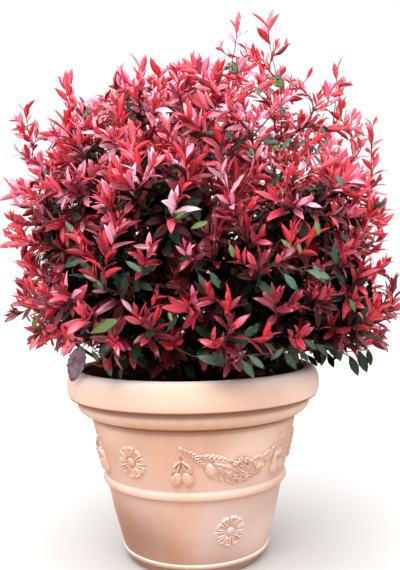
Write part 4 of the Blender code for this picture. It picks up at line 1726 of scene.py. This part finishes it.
@dataclass
class Crown:
    """The crown: where its shoots end, how they grow there, and what they bear."""

    volumes: list[Volume]
    limbs: list[Limb]
    finish: Finish
    low: Array
    high: Array
    seed: int = 11
    heart: Triple = (0.038, 0.0, 0.8)
    base: Triple = (0.02, 0.0, 0.66)
    bare_stem: float = 0.86
    bare_bough: float = 0.4
    thickening: Pair = (0.0011, 2.45)
    top_gap: float = 0.038
    low_gap: float = 0.064
    inner_gap: float = 0.07
    retreat: float = 0.022
    tries: int = 560
    outline_depth: float = -0.03
    hollow_depth: float = 0.045
    tip_sink: float = 0.015
    leaf_rise: float = 0.012
    probe: float = 0.022
    upper_line: float = 160.0
    low_line: float = 290.0
    low_height: float = 0.95
    rim_clearance: float = 0.66
    far_clearance: float = 0.6
    far_radius: float = 0.43
    inner_tries: int = 200
    least_gap: float = 0.045
    filling: int = 90
    filled: tuple[Triple, Triple] = ((-0.26, -0.14, -0.12), (0.26, 0.24, 0.3))
    gloom_reach: float = 0.24
    mouth: Pair = (0.27, 0.655)
    mixing: Triple = (0.6, 0.26, 0.14)
    skirt: int = 60
    spires: tuple[str, ...] = ("top_leader", "second_leader", "right_leader")
    bright_rise: float = 0.55
    withered_foot: Pair = (82.0, 347.0)
    withered_end: Pair = (72.5, 381.5)
    withered_depth: float = -0.225
    withered_width: float = 0.27
    front_shoots: dict[Habit, Stops] = field(
        default_factory=lambda: {
            Habit.LEADER: (
                (285, 48), (289.4, 61), (344.8, 83), (69.5, 88), (301.6, 86), (360, 119), (371, 137),
                (26, 182), (375, 160), (205.7, 60), (276, 45),
            ),
            Habit.SPIRE: ((268, 26), (236.5, 28), (336.5, 73), (26, 112), (67, 90), (158, 74), (141, 72)),
            Habit.OPEN: (
                (221, 45), (196, 66), (245.5, 46), (253, 53), (263, 56), (178, 84), (219, 68), (250.6, 67),
                (282, 71), (291.4, 82), (310, 92), (319, 99), (22, 130), (38, 129), (50, 131), (16, 148),
                (64, 115), (330, 88), (88, 104), (96, 103), (119, 82), (142, 76), (160, 72), (135, 92),
                (153, 99), (334, 101), (353, 114), (272, 110), (257, 117), (302, 116), (322, 119),
                (344, 126), (359, 171), (379, 181), (384, 203), (349, 180), (329, 150), (311, 158),
                (297, 140), (246, 90), (230, 88), (205, 84), (318, 135), (263, 80), (240, 66), (228, 104),
                (284, 98), (15, 200), (28, 150), (40, 160), (372, 210),
            ),
            Habit.BOLD: (
                (235, 114), (196.5, 121), (65, 121), (76.5, 138), (111, 136), (185, 148), (153, 161),
                (108, 202), (52, 186), (32, 194), (60, 227), (38, 238), (89, 222), (118.6, 223), (176, 202),
                (195, 166), (276.5, 194), (239.5, 187), (228, 212), (297, 203), (288, 173), (150, 248),
                (208, 245), (261, 257), (137, 313), (187, 304), (228, 303), (213, 340), (267, 336),
                (165, 367), (231, 361), (275, 297), (296, 300), (284, 256), (108, 246), (154, 320),
                (334, 212), (365, 229), (361, 268), (380, 266), (328, 295), (354, 301), (372, 319),
                (332, 323), (383, 331), (359, 339), (77, 189), (86, 220), (81, 247), (92, 272), (24, 298),
                (50, 307), (37, 266), (83, 316), (15, 312), (30, 286), (66, 290), (232, 325), (300, 334),
                (112, 330), (247, 220), (312, 232), (220, 170), (255, 152), (130, 180),
            ),
        }
    )
    hollows: tuple[Triple, ...] = (
        (140, 195, 0.05), (168, 180, 0.03), (152, 266, 0.062), (192, 272, 0.042), (130, 290, 0.04),
        (190, 345, 0.048), (312, 352, 0.05), (262, 314, 0.03), (340, 272, 0.034), (240, 288, 0.028),
        (150, 345, 0.03), (268, 358, 0.04), (110, 262, 0.026), (212, 372, 0.03), (290, 332, 0.042),
        (326, 345, 0.036), (308, 308, 0.028), (204, 236, 0.028), (172, 226, 0.034), (236, 262, 0.022),
        (286, 312, 0.034), (320, 322, 0.034), (346, 340, 0.034), (262, 288, 0.03), (300, 272, 0.028),
        (255, 344, 0.03), (284, 346, 0.042), (310, 336, 0.036), (334, 308, 0.03), (242, 326, 0.024),
        (152, 212, 0.044), (160, 240, 0.048), (210, 262, 0.04), (124, 240, 0.03), (118, 214, 0.026),
        (222, 240, 0.022), (184, 222, 0.026),
    )

    clearings: tuple[Triple, ...] = (
        (75, 368, 0.04), (80, 352, 0.024), (62, 380, 0.05), (50, 366, 0.04), (92, 352, 0.016),
    )
    # Spots where extra shaded shoots fill the crown, their leaves darkened as painted shade.
    gloom: tuple[Triple, ...] = (
        (300, 325, 34), (268, 318, 26), (332, 300, 24), (300, 350, 16), (330, 338, 20), (62, 300, 20),
        (70, 246, 18), (100, 322, 22), (342, 250, 20), (250, 345, 18), (225, 350, 20), (120, 350, 18),
        (170, 352, 20), (280, 285, 22), (348, 262, 16), (352, 305, 22), (344, 330, 16), (364, 318, 12),
        (292, 362, 14), (276, 366, 14), (300, 356, 8), (250, 370, 14), (322, 350, 12), (336, 350, 12),
    )
    gloom_tries: int = 16
    sky: tuple[Triple, ...] = (
        (50, 88, 0.036), (88, 78, 0.048), (106, 76, 0.026), (57, 116, 0.02), (300, 56, 0.045),
        (318, 74, 0.022), (205, 36, 0.04), (180, 50, 0.022), (356, 92, 0.024), (392, 120, 0.04),
        (8, 100, 0.03), (46, 102, 0.036), (42, 120, 0.018), (262, 122, 0.015), (279, 168, 0.013),
        (318, 158, 0.016), (303, 178, 0.011), (252, 28, 0.03), (312, 84, 0.02), (325, 106, 0.012),
        (20, 84, 0.04),
    )
    lone_leaves: dict[Tint, tuple[tuple[float, float, float, float], ...]] = field(
        default_factory=lambda: {
            Tint.GREY_GREEN: (
                (255, 87, 261, 94), (216, 146, 228, 152), (290, 139, 282, 150), (199, 357, 228, 363),
                (242, 361, 256, 378), (250, 356, 265, 369), (285, 275, 298, 290), (309, 271, 332, 279),
                (314, 266, 326, 284), (127, 262, 143, 272), (279, 76, 283, 90), (336, 175, 344, 187),
                (104, 358, 112, 376), (66, 222, 74, 234),
            ),
            Tint.DEEP_GREEN: (
                (206, 133, 222, 131), (262, 141, 281, 142), (281, 107, 284, 117), (227, 131, 233, 141),
                (322, 128, 326, 138), (297, 145, 309, 139), (247, 151, 253, 160), (224, 70, 231, 66),
                (334, 245, 336, 266), (199, 275, 207, 291), (211, 273, 220, 289), (168, 330, 177, 316),
                (142, 340, 157, 329), (40, 326, 34, 340), (350, 357, 359, 376), (359, 352, 367, 373),
                (368, 350, 371, 366), (233, 62, 237, 74), (96, 280, 104, 290), (268, 134, 274, 146),
                (226, 362, 212, 352), (275, 350, 262, 342), (305, 340, 318, 350), (285, 353, 297, 370),
                (299, 351, 309, 361), (283, 349, 270, 360), (93, 352, 99, 362), (330, 345, 342, 361),
                (343, 346, 333, 360), (325, 349, 321, 366), (317, 345, 329, 356),
            ),
            Tint.FRESH_GREEN: (
                (272, 144, 281, 151), (250, 147, 254, 156), (269, 78, 285, 87), (93, 332, 119, 319),
                (192, 228, 208, 221), (230, 245, 234, 258), (282, 240, 292, 249), (298, 244, 301, 254),
                (316, 221, 319, 236), (37, 317, 32, 329), (169, 312, 172, 322), (176, 218, 186, 210),
                (350, 300, 356, 312),
            ),
            Tint.PLUM: ((134, 246, 152, 248), (122, 300, 133, 313), (76, 350, 69, 360)),
            # Near-black leaves as painted shade.
            Tint.SHADE: (
                (314, 350, 321, 364), (308, 356, 318, 366), (328, 354, 334, 368), (340, 340, 347, 352),
            ),
        }
    )

    def __post_init__(self) -> None:
        """Set up the dice, the skeleton and the leaves."""
        self.dice = np.random.default_rng(self.seed)
        self.masses = [volume for volume in self.volumes if not volume.is_shoot]
        self.skeleton = Skeleton()
        self.foliage = Foliage(self.seed + 1)
        self.eye = Eye()
        self.hollow_sights = self.sights(self.hollows)
        self.sky_sights = self.sights(self.sky)
        self.foliage.limit(self.low, self.high)
        self.foliage.depth_of = self.depth
        self.clear_sights = self.sights((*self.sky, *self.clearings))
        self.foliage.barred = lambda place: self.seen_in(place, self.clear_sights)

    def depth(self, place: Array) -> float:
        """How deep a place lies inside the crown."""
        deepest = 0.0
        for volume in self.volumes:
            way = place - volume.centre
            length = float(np.linalg.norm(way))
            if length > volume.reach or volume.is_shoot:
                continue
            edge = volume.surface(way / max(length, 1e-9))
            if edge is not None:
                deepest = max(deepest, float(np.linalg.norm(edge - volume.centre)) - length)
        # Places in the hollows count as deeper, so their leaves take the darker tints of painted shade.
        hidden = self.hollow_depth if self.in_hollow(place) else 0.0
        return deepest * (1.0 - 0.5 * self.thinness(place)) + hidden

    def thinness(self, place: Array) -> float:
        """How open the crown is at a place, from 0 for close to 1 for open."""
        right = smoothstep(0.02, 0.28, np.array(place[0]))
        top = smoothstep(1.16, 1.36, np.array(place[2]))
        return float(right * top)

    def heading(self, place: Array) -> Array:
        """The way that a shoot points where it ends: up and a little outwards, more outwards low down."""
        out = unit((place - np.array(self.heart)) * np.array((1.0, 1.0, 0.4)))
        rise = float(smoothstep(0.66, 0.98, np.array(place[2])))
        mean = (0.34 - 0.1 * rise) * out + (0.9 + 0.05 * rise) * UP
        return unit(mean + 0.19 * self.dice.standard_normal(3))

    def first_hit(self, way: Array) -> tuple[float, Volume] | None:
        """How far along a line of sight the first mass begins, and which it is."""
        hits = [(volume.first_seen(np.array(self.eye.place), way), volume) for volume in self.masses]
        hits = [(far, volume) for far, volume in hits if far is not None]
        return min(hits, key=lambda hit: hit[0]) if hits else None

    def front_tips(self) -> list[Tip]:
        """Ends of the shoots whose places on the front of the crown are set."""
        found = []
        for habit, places in self.front_shoots.items():
            for across, down in places:
                way = self.eye.way(across, down)
                hit = self.first_hit(way)
                depth = self.outline_depth + 0.1 * (self.dice.random() - 0.5)
                tip = self.eye.at_depth(across, down, depth)
                nearest = min(self.masses, key=lambda volume: float(np.linalg.norm(volume.centre - tip)))
                if hit:
                    far, nearest = hit
                    tip = np.array(self.eye.place) + way * (far + self.tip_sink)
                found.append((tip, self.heading(tip), nearest.tier, habit))
        return found

    def seen_in(self, place: Array, spots: Array) -> bool:
        """Whether a place lies on a line of sight through one of some round spots."""
        gap = place - np.array(self.eye.place)
        past = gap - spots[:, :3] * (spots[:, :3] @ gap)[:, None]
        return bool((np.linalg.norm(past, axis=1) < spots[:, 3]).any())

    def sights(self, spots: Sequence[Triple]) -> Array:
        """Spots of the picture as the way to each and its radius."""
        return np.array([(*self.eye.way(across, down), radius) for across, down, radius in spots])

    def in_hollow(self, place: Array) -> bool:
        """Whether a place near the front lies in one of the hollows, whose leaves are darkened as painted
        shade.
        """
        return place[1] < -0.05 and self.seen_in(place, self.hollow_sights)

    def lone(self) -> None:
        """Grow a twig for each leaf whose place on the front is set, and put the leaf on it."""
        for tint, leaves in self.lone_leaves.items():
            for across, down, end_across, end_down in leaves:
                way = self.eye.way(across, down)
                hit = self.first_hit(way)
                foot = self.eye.at_depth(across, down, self.outline_depth)
                tier = "low" if down > self.low_line else "upper" if down < self.upper_line else "middle"
                if hit:
                    far, nearest = hit
                    foot, tier = np.array(self.eye.place) + way * (far - self.leaf_rise), nearest.tier
                end = self.eye.at_depth(end_across, end_down, foot[1] - self.leaf_rise)
                size = float(np.linalg.norm(end - foot))
                ahead = (end - foot) / size
                face = unit(-way + 0.5 * UP + 0.2 * self.dice.standard_normal(3))
                arriving = unit(ahead + 0.9 * unit(foot * (1.0, 1.0, 0.0)) + 0.35 * UP)
                self.skeleton.grow(foot, arriving, tier, Habit.BARE, 1.0, np.zeros(3))
                face = unit(face - ahead * float(face @ ahead))
                self.foliage.put(tier, foot, ahead, face, size, tint, True)

    def outer_tips(self, taken: Array) -> list[Tip]:
        """Ends of shoots over the outside of the crown, kept apart from each other and from the set ones."""
        candidates = []
        for volume in self.masses:
            for way in unit(self.dice.standard_normal((self.tries, 3))):
                edge = volume.surface(way)
                if edge is None:
                    continue
                probe = edge + way * self.probe
                if any(other.holds(probe) for other in self.masses if other is not volume):
                    continue
                candidates.append((edge, volume.tier))
        found = []
        order = np.arange(len(candidates))
        self.dice.shuffle(order)
        for index in order:
            edge, tier = candidates[index]
            thin = self.thinness(edge)
            rise = float(smoothstep(0.9, 1.3, np.array(edge[2])))
            gap = (self.low_gap + (self.top_gap - self.low_gap) * rise) * (1.0 + 0.5 * thin)
            if np.linalg.norm(taken - edge, axis=1).min() < gap or self.in_hollow(edge):
                continue
            if self.seen_in(edge, self.sky_sights):
                continue
            taken = np.vstack((taken, edge))
            heading = self.heading(edge)
            back = self.retreat + 0.06 * self.dice.random() ** 2 - 0.035 * self.dice.random() ** 3
            tip = edge - heading * back
            far = np.hypot(tip[0], tip[1]) > self.far_radius
            if tip[2] > (self.far_clearance if far else self.rim_clearance):
                found.append((tip, heading, tier, Habit.OPEN if thin > 0.4 else Habit.USUAL))
        return found

    def inner_tips(self) -> list[Tip]:
        """Ends of shaded shoots inside the crown."""
        found = []
        taken = np.zeros((0, 3))
        for volume in self.masses:
            for way in unit(self.dice.standard_normal((self.inner_tries, 3))):
                edge = volume.surface(way)
                if edge is None:
                    continue
                place = volume.centre + (edge - volume.centre) * (0.1 + 0.7 * self.dice.random())
                gap = self.inner_gap * (1.0 + 1.2 * self.thinness(place))
                gap *= 0.86 if place[2] < 1.1 else 1.1
                if len(taken) and np.linalg.norm(taken - place, axis=1).min() < gap:
                    continue
                taken = np.vstack((taken, place))
                found.append((place, self.heading(place), volume.tier, Habit.SHADED))
        for _ in range(self.filling):
            place = np.array(self.heart) + self.dice.uniform(*self.filled)
            if np.linalg.norm(taken - place, axis=1).min() > 0.6 * self.inner_gap:
                taken = np.vstack((taken, place))
                found.append(self.shaded_tip(place))
        for across, down, radius in self.gloom:
            for _ in range(self.gloom_tries):
                angle, reach = math.tau * self.dice.random(), radius * math.sqrt(self.dice.random())
                depth = self.dice.uniform(-self.gloom_reach, self.gloom_reach)
                spot = across + reach * math.cos(angle), down + reach * math.sin(angle)
                place = self.eye.at_depth(*spot, depth)
                outside = np.hypot(place[0], place[1]) > self.mouth[0] and place[2] < self.mouth[1]
                if outside or np.linalg.norm(taken - place, axis=1).min() < self.least_gap:
                    continue
                taken = np.vstack((taken, place))
                found.append(self.shaded_tip(place))
        for _ in range(self.skirt):
            bearing, radius, rise = (self.dice.random() for _ in range(3))
            place = on_bearing(360.0 * bearing, 0.08 + 0.17 * radius, 0.62 + 0.06 * rise)
            if np.linalg.norm(taken - place, axis=1).min() > self.least_gap:
                taken = np.vstack((taken, place))
                heading = 0.8 * unit(place * (1.0, 1.0, 0.0)) + 0.5 * UP
                heading = unit(heading + 0.2 * self.dice.standard_normal(3))
                habit = Habit.USUAL if self.dice.random() < 0.3 else Habit.SHADED
                found.append((place, heading, "low", habit))
        return found

    def shaded_tip(self, place: Array) -> Tip:
        """The end of one shaded shoot in the low or middle tier."""
        return place, self.heading(place), "low" if place[2] < self.low_height else "middle", Habit.SHADED

    def leaders(self) -> list[Tip]:
        """Ends of the leaders and sprays that stand out of the crown."""
        found = []
        for volume in self.volumes:
            if not volume.is_shoot or volume.name in self.spires:
                continue
            axis = self.axis_of(volume)
            ends = volume.surface(axis)
            if ends is not None:
                found.append((ends - axis * 0.04, axis, volume.tier, Habit.LEADER))
        return found

    def axis_of(self, volume: Volume) -> Array:
        """The long axis of a slender volume, pointing away from the heart of the crown."""
        ways = unit(self.dice.standard_normal((300, 3)))
        edges = [volume.surface(way) for way in ways]
        far = [0.0 if edge is None else np.linalg.norm(edge - volume.centre) for edge in edges]
        axis = ways[int(np.argmax(far))]
        return axis if float(axis @ (volume.centre - np.array(self.heart))) > 0.0 else -axis

    def from_base(self, tip: Tip) -> float:
        """How far the end of a shoot lies from the base of the crown."""
        return float(np.linalg.norm(tip[0] - self.base))

    def plant(self) -> None:
        """Give the skeleton its limbs."""
        stem = self.limbs[0]
        stem_points = self.skeleton.add(stem.route, -1, stem.route[:, 2] > self.bare_stem)
        for limb in self.limbs[1:]:
            gaps = np.linalg.norm(stem.route - limb.route[0], axis=1)
            parent = int(stem_points[gaps.argmin()])
            share = np.linspace(0.0, 1.0, len(limb.route) - 1)
            self.skeleton.add(limb.route[1:], parent, share > self.bare_bough)

    def grow(self) -> None:
        """Grow a twig to every tip, the inner and nearer ones first."""
        self.plant()
        front = self.front_tips()
        outer = self.outer_tips(np.array([tip for tip, *_ in front])) + self.leaders()
        for tips in (self.inner_tips(), front, outer):
            for tip, heading, tier, habit in sorted(tips, key=self.from_base):
                if self.foliage.barred(tip) and habit is not Habit.SPIRE:
                    continue
                bow = 0.035 * self.dice.standard_normal(3)
                if habit is Habit.SPIRE:
                    heading, bow = unit(UP + 0.04 * self.dice.standard_normal(3)), np.zeros(3)
                self.skeleton.grow(tip, heading, tier, habit, 0.78 + 0.4 * self.dice.random(), bow)
            LOG.info("%d shoots", len(tips))
        self.lone()
        self.wither()
        self.skeleton.thicken(*self.thickening)

    def palette(self, place: Array, shaded: bool) -> tuple[list[Tint], list[Tint]]:
        """Colours of a spray from its tip downwards, and of the older leaves under it."""
        dice = self.dice
        rise = float(smoothstep(0.86, 1.28, np.array(place[2])))
        # Shaded shoots take dark tints as painted shade: crimson and wine high in the crown, where more
        # light reaches, near-black lower down.
        if shaded and rise > self.bright_rise:
            return [Tint.CRIMSON] * 2, [Tint.CRIMSON, Tint.WINE, Tint.WINE, Tint.DEEP_GREEN]
        if shaded:
            return [Tint.MAROON] * 2, [Tint.SHADE, Tint.MAROON, Tint.WINE, Tint.DEEP_GREEN]
        # PINK and ROSE, which carry painted sheen, grow commoner towards the top.
        weights = {
            Tint.PINK: 0.01 + 0.27 * rise**2,
            Tint.ROSE: 0.07 + 0.21 * rise,
            Tint.SCARLET: 0.26 + 0.04 * rise,
            Tint.CRIMSON: 0.42 - 0.31 * rise,
            Tint.WINE: 0.2 - 0.17 * rise,
            Tint.PLUM: 0.04 - 0.02 * rise,
        }
        kinds = list(weights)
        chances = np.array([weights[kind] for kind in kinds])
        picks = dice.choice(len(kinds), 3, p=chances / chances.sum())
        young = [kinds[int(picks[int(dice.choice(3, p=self.mixing))])] for _ in range(14)]
        # Older leaves take dark wine, maroon and near-black tints as painted shade.
        older = [Tint.WINE, Tint.MAROON, Tint.MAROON, Tint.SHADE]
        if dice.random() < 0.3 * (1.0 - 0.6 * rise):
            older = [Tint.DEEP_GREEN, Tint.DEEP_GREEN, Tint.GREY_GREEN]
        return young, older

    def leaf_out(self) -> None:
        """Set leaves on every shoot."""
        for twig in self.skeleton.twigs:
            shaded = twig.habit is Habit.SHADED
            young, older = self.palette(twig.route[-1], shaded)
            if twig.habit is Habit.BARE:
                continue
            count = twig.habit.value[1] + (0 if shaded else int(self.dice.integers(-1, 2)))
            self.foliage.dress_shoot(twig, young[:count], older)

    def build(self) -> None:
        """Grow the crown, then model its twigs and leaves."""
        self.grow()
        self.leaf_out()
        self.model_twigs()
        nodes: dict[str, list[str]] = {}
        for volume in self.volumes:
            nodes.setdefault(volume.tier, []).append(volume.name)
        self.foliage.join(nodes)

    def wither(self) -> None:
        """Model the one withered leaf that hangs over the rim: broad, ragged, curled along its midrib."""
        ends = self.withered_foot, self.withered_end
        foot, end = (self.eye.at_depth(*spot, self.withered_depth) for spot in ends)
        size = float(np.linalg.norm(end - foot))
        ahead = (end - foot) / size
        face = unit(-self.eye.way(*self.withered_foot) + 0.45 * np.array((-1.0, 0.0, 0.3)))
        across = unit(np.cross(ahead, face))
        over = np.cross(across, ahead)
        arriving = unit(ahead + 0.6 * np.array((-1.0, 0.0, 0.4)))
        self.skeleton.grow(foot, arriving, "low", Habit.BARE, 1.0, np.zeros(3))
        fresh()
        bpy.ops.mesh.primitive_grid_add(x_subdivisions=16, y_subdivisions=30, size=2.0)
        leaf = bpy.context.active_object
        leaf.name = "withered_leaf"
        flat = points_of(leaf)
        side, along = flat[:, 0], (flat[:, 1] + 1.0) / 2.0
        ragged = 1.0 + 0.07 * np.sin(41.0 * along + 2.0 * side) + 0.05 * np.sin(67.0 * along - 1.3)
        wide = self.withered_width * (np.sin(np.pi * np.clip(along, 0.004, 0.985) ** 0.85) ** 0.62) * ragged
        rise = 0.3 * np.abs(side) ** 1.6 - 0.55 * (along - 0.5) ** 2
        rise += 0.05 * np.sin(9.0 * along + 3.0 * side)
        places = foot + np.outer(along * size, ahead) + np.outer(side * wide * size, across)
        places += np.outer((rise + 0.02 * np.sin(24.0 * along) * side) * self.withered_width * size, over)
        move_points(leaf, places)
        skin = leaf.modifiers.new("thickness", "SOLIDIFY")
        skin.thickness = 0.0007
        apply_modifier(leaf, skin)
        smooth_shaded(leaf, 60.0)
        dress(leaf, [DryLeaf().material()])

    def model_twigs(self) -> None:
        """Model every twig as a tapering tube, and join those of each tier."""
        for tier in ("low", "middle", "upper"):
            joined = MeshArrays(f"{tier}_twigs")
            for twig in self.skeleton.twigs:
                if twig.tier == tier:
                    self.tube(joined, twig.route, twig.radii)
            dress(joined.make(smooth=True), [self.finish])

    def tube(self, joined: MeshArrays, route: Array, radii: Array, sides: int = 5) -> None:
        """Add a tapering tube along a route, closed at both ends."""
        ways = unit(np.gradient(route, axis=0))
        side = unit(np.cross(ways[0], (0.41, 0.83, 0.37)))
        angles = math.tau * np.arange(sides) / sides
        rings = []
        for place, way, radius in zip(route, ways, radii):
            side = unit(side - way * float(side @ way))
            other = np.cross(way, side)
            rings.append(place + radius * (np.cos(angles)[:, None] * side + np.sin(angles)[:, None] * other))
        places = np.vstack([*rings, route[-1] + ways[-1] * radii[-1]])
        base = np.arange(sides)
        after = (base + 1) % sides
        quads = [
            np.column_stack((base + low, after + low, after + low + sides, base + low + sides))
            for low in range(0, sides * (len(rings) - 1), sides)
        ]
        last = sides * (len(rings) - 1)
        tip = np.full(sides, len(places) - 1)
        start = joined.count
        joined.add(places, np.vstack(quads), 0)
        joined.faces.append(np.column_stack((base + last, after + last, tip)) + start)
        joined.kinds.append(np.zeros(sides, int))
        joined.faces.append((base[::-1] + start)[None])
        joined.kinds.append(np.zeros(1, int))


# --- studio ----------------------------------------------------------------------------------------


@dataclass
class Studio:
    """Pale floor, soft light and the camera."""

    eye: Eye = field(default_factory=Eye)
    floor_size: float = 60.0
    sky: Stops = (
        (0.3, 0.026), (0.5, 0.066), (0.7, 0.19), (0.84, 0.44), (1.0, 1.0),
    )
    strength: float = 4.4
    backdrop: float = 0.237
    floor_colour: Colour = (0.5, 0.495, 0.49)
    lamp_size: float = 2.6
    lamp_energy: float = 120.0
    lamp_colour: Colour = (1.0, 0.98, 0.95)
    lamp_place: Triple = (-0.5, -2.4, 3.4)
    lamp_aim: Triple = (0.0, 0.0, 0.8)

    def camera(self) -> None:
        """Stand the camera in front of the planter."""
        across, up, ahead = self.eye.axes()
        data = bpy.data.cameras.new("studio_camera")
        data.lens = self.eye.lens
        data.sensor_width = self.eye.sensor
        camera = bpy.data.objects.new("studio_camera", data)
        turn = Matrix((across, up, -ahead)).transposed().to_4x4()
        camera.matrix_world = Matrix.Translation(self.eye.place) @ turn
        bpy.context.scene.collection.objects.link(camera)
        bpy.context.scene.camera = camera

    def floor(self) -> None:
        """Lay the pale floor."""
        fresh()
        bpy.ops.mesh.primitive_plane_add(size=self.floor_size, location=(0.0, 0.0, 0.0))
        floor = bpy.context.active_object
        floor.name = "studio_floor"
        floor.data.materials.append(PlainFinish("studio_floor", self.floor_colour, 0.9, 0.1).material())
        floor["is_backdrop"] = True

    def light(self) -> None:
        """Light the scene with a sky that brightens towards the zenith, a flat backdrop in the camera's own
        view, and one large soft lamp.
        """
        world = bpy.data.worlds.new("studio_sky")
        world.use_nodes = True
        bpy.context.scene.world = world
        tree = world.node_tree
        place = tree.nodes.new("ShaderNodeTexCoord")
        split = tree.nodes.new("ShaderNodeSeparateXYZ")
        rise = tree.nodes.new("ShaderNodeMapRange")
        rise.inputs["From Min"].default_value = -1.0
        ramp = tree.nodes.new("ShaderNodeValToRGB")
        elements = ramp.color_ramp.elements
        while len(elements) < len(self.sky):
            elements.new(0.5)
        for element, (position, grey) in zip(elements, self.sky):
            element.position = position
            element.color = (grey, grey, grey, 1.0)
        seen = tree.nodes.new("ShaderNodeLightPath")
        mix = tree.nodes.new("ShaderNodeMix")
        mix.data_type = "RGBA"
        mix.inputs[7].default_value = (self.backdrop, self.backdrop, self.backdrop, 1.0)
        background = tree.nodes["Background"]
        background.inputs["Strength"].default_value = self.strength
        tree.links.new(place.outputs["Generated"], split.inputs[0])
        tree.links.new(split.outputs["Z"], rise.inputs["Value"])
        tree.links.new(rise.outputs["Result"], ramp.inputs["Fac"])
        tree.links.new(seen.outputs["Is Camera Ray"], mix.inputs[0])
        tree.links.new(ramp.outputs["Color"], mix.inputs[6])
        tree.links.new(mix.outputs[2], background.inputs["Color"])
        lamp = bpy.data.lights.new("soft_key", "AREA")
        lamp.shape = "DISK"
        lamp.size = self.lamp_size
        lamp.energy = self.lamp_energy
        lamp.color = self.lamp_colour
        key = bpy.data.objects.new("soft_key", lamp)
        key.location = self.lamp_place
        key.rotation_euler = (Vector(self.lamp_aim) - key.location).to_track_quat("-Z", "Y").to_euler()
        bpy.context.scene.collection.objects.link(key)

    def build(self) -> None:
        """Set up floor, light, camera and how the picture is developed."""
        self.floor()
        self.light()
        self.camera()
        view = bpy.context.scene.view_settings
        view.view_transform = "Standard"
        view.look = "None"


def main(frame: dict) -> None:
    """Build every part of the object in order, keeping the leaves inside a box round the imported model.
    """
    logging.basicConfig(level=logging.INFO, format="%(name)s %(message)s", stream=sys.stdout)
    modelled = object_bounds()
    clay = Terracotta().material()
    planter = Planter(clay)
    planter.build()
    Ornament(planter, clay).build()
    Compost(Earth().material()).build()
    bark = Bark().material()
    limbs = Frame(bark).build()
    parts = frame["record"]["subparts"]
    masses = [entry["node"] for entry in parts if entry["material_slot"] == "foliage"]
    volumes = [Volume.of(name, frame["nodes"][name]) for name in masses]
    low, high = np.array(modelled[0]), np.array(modelled[1])
    room = 0.02 * (high - low) + 0.006
    Crown(volumes, limbs, bark, low - room, high + room).build()
    Studio().build()


if __name__ == "__main__":
    main(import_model())
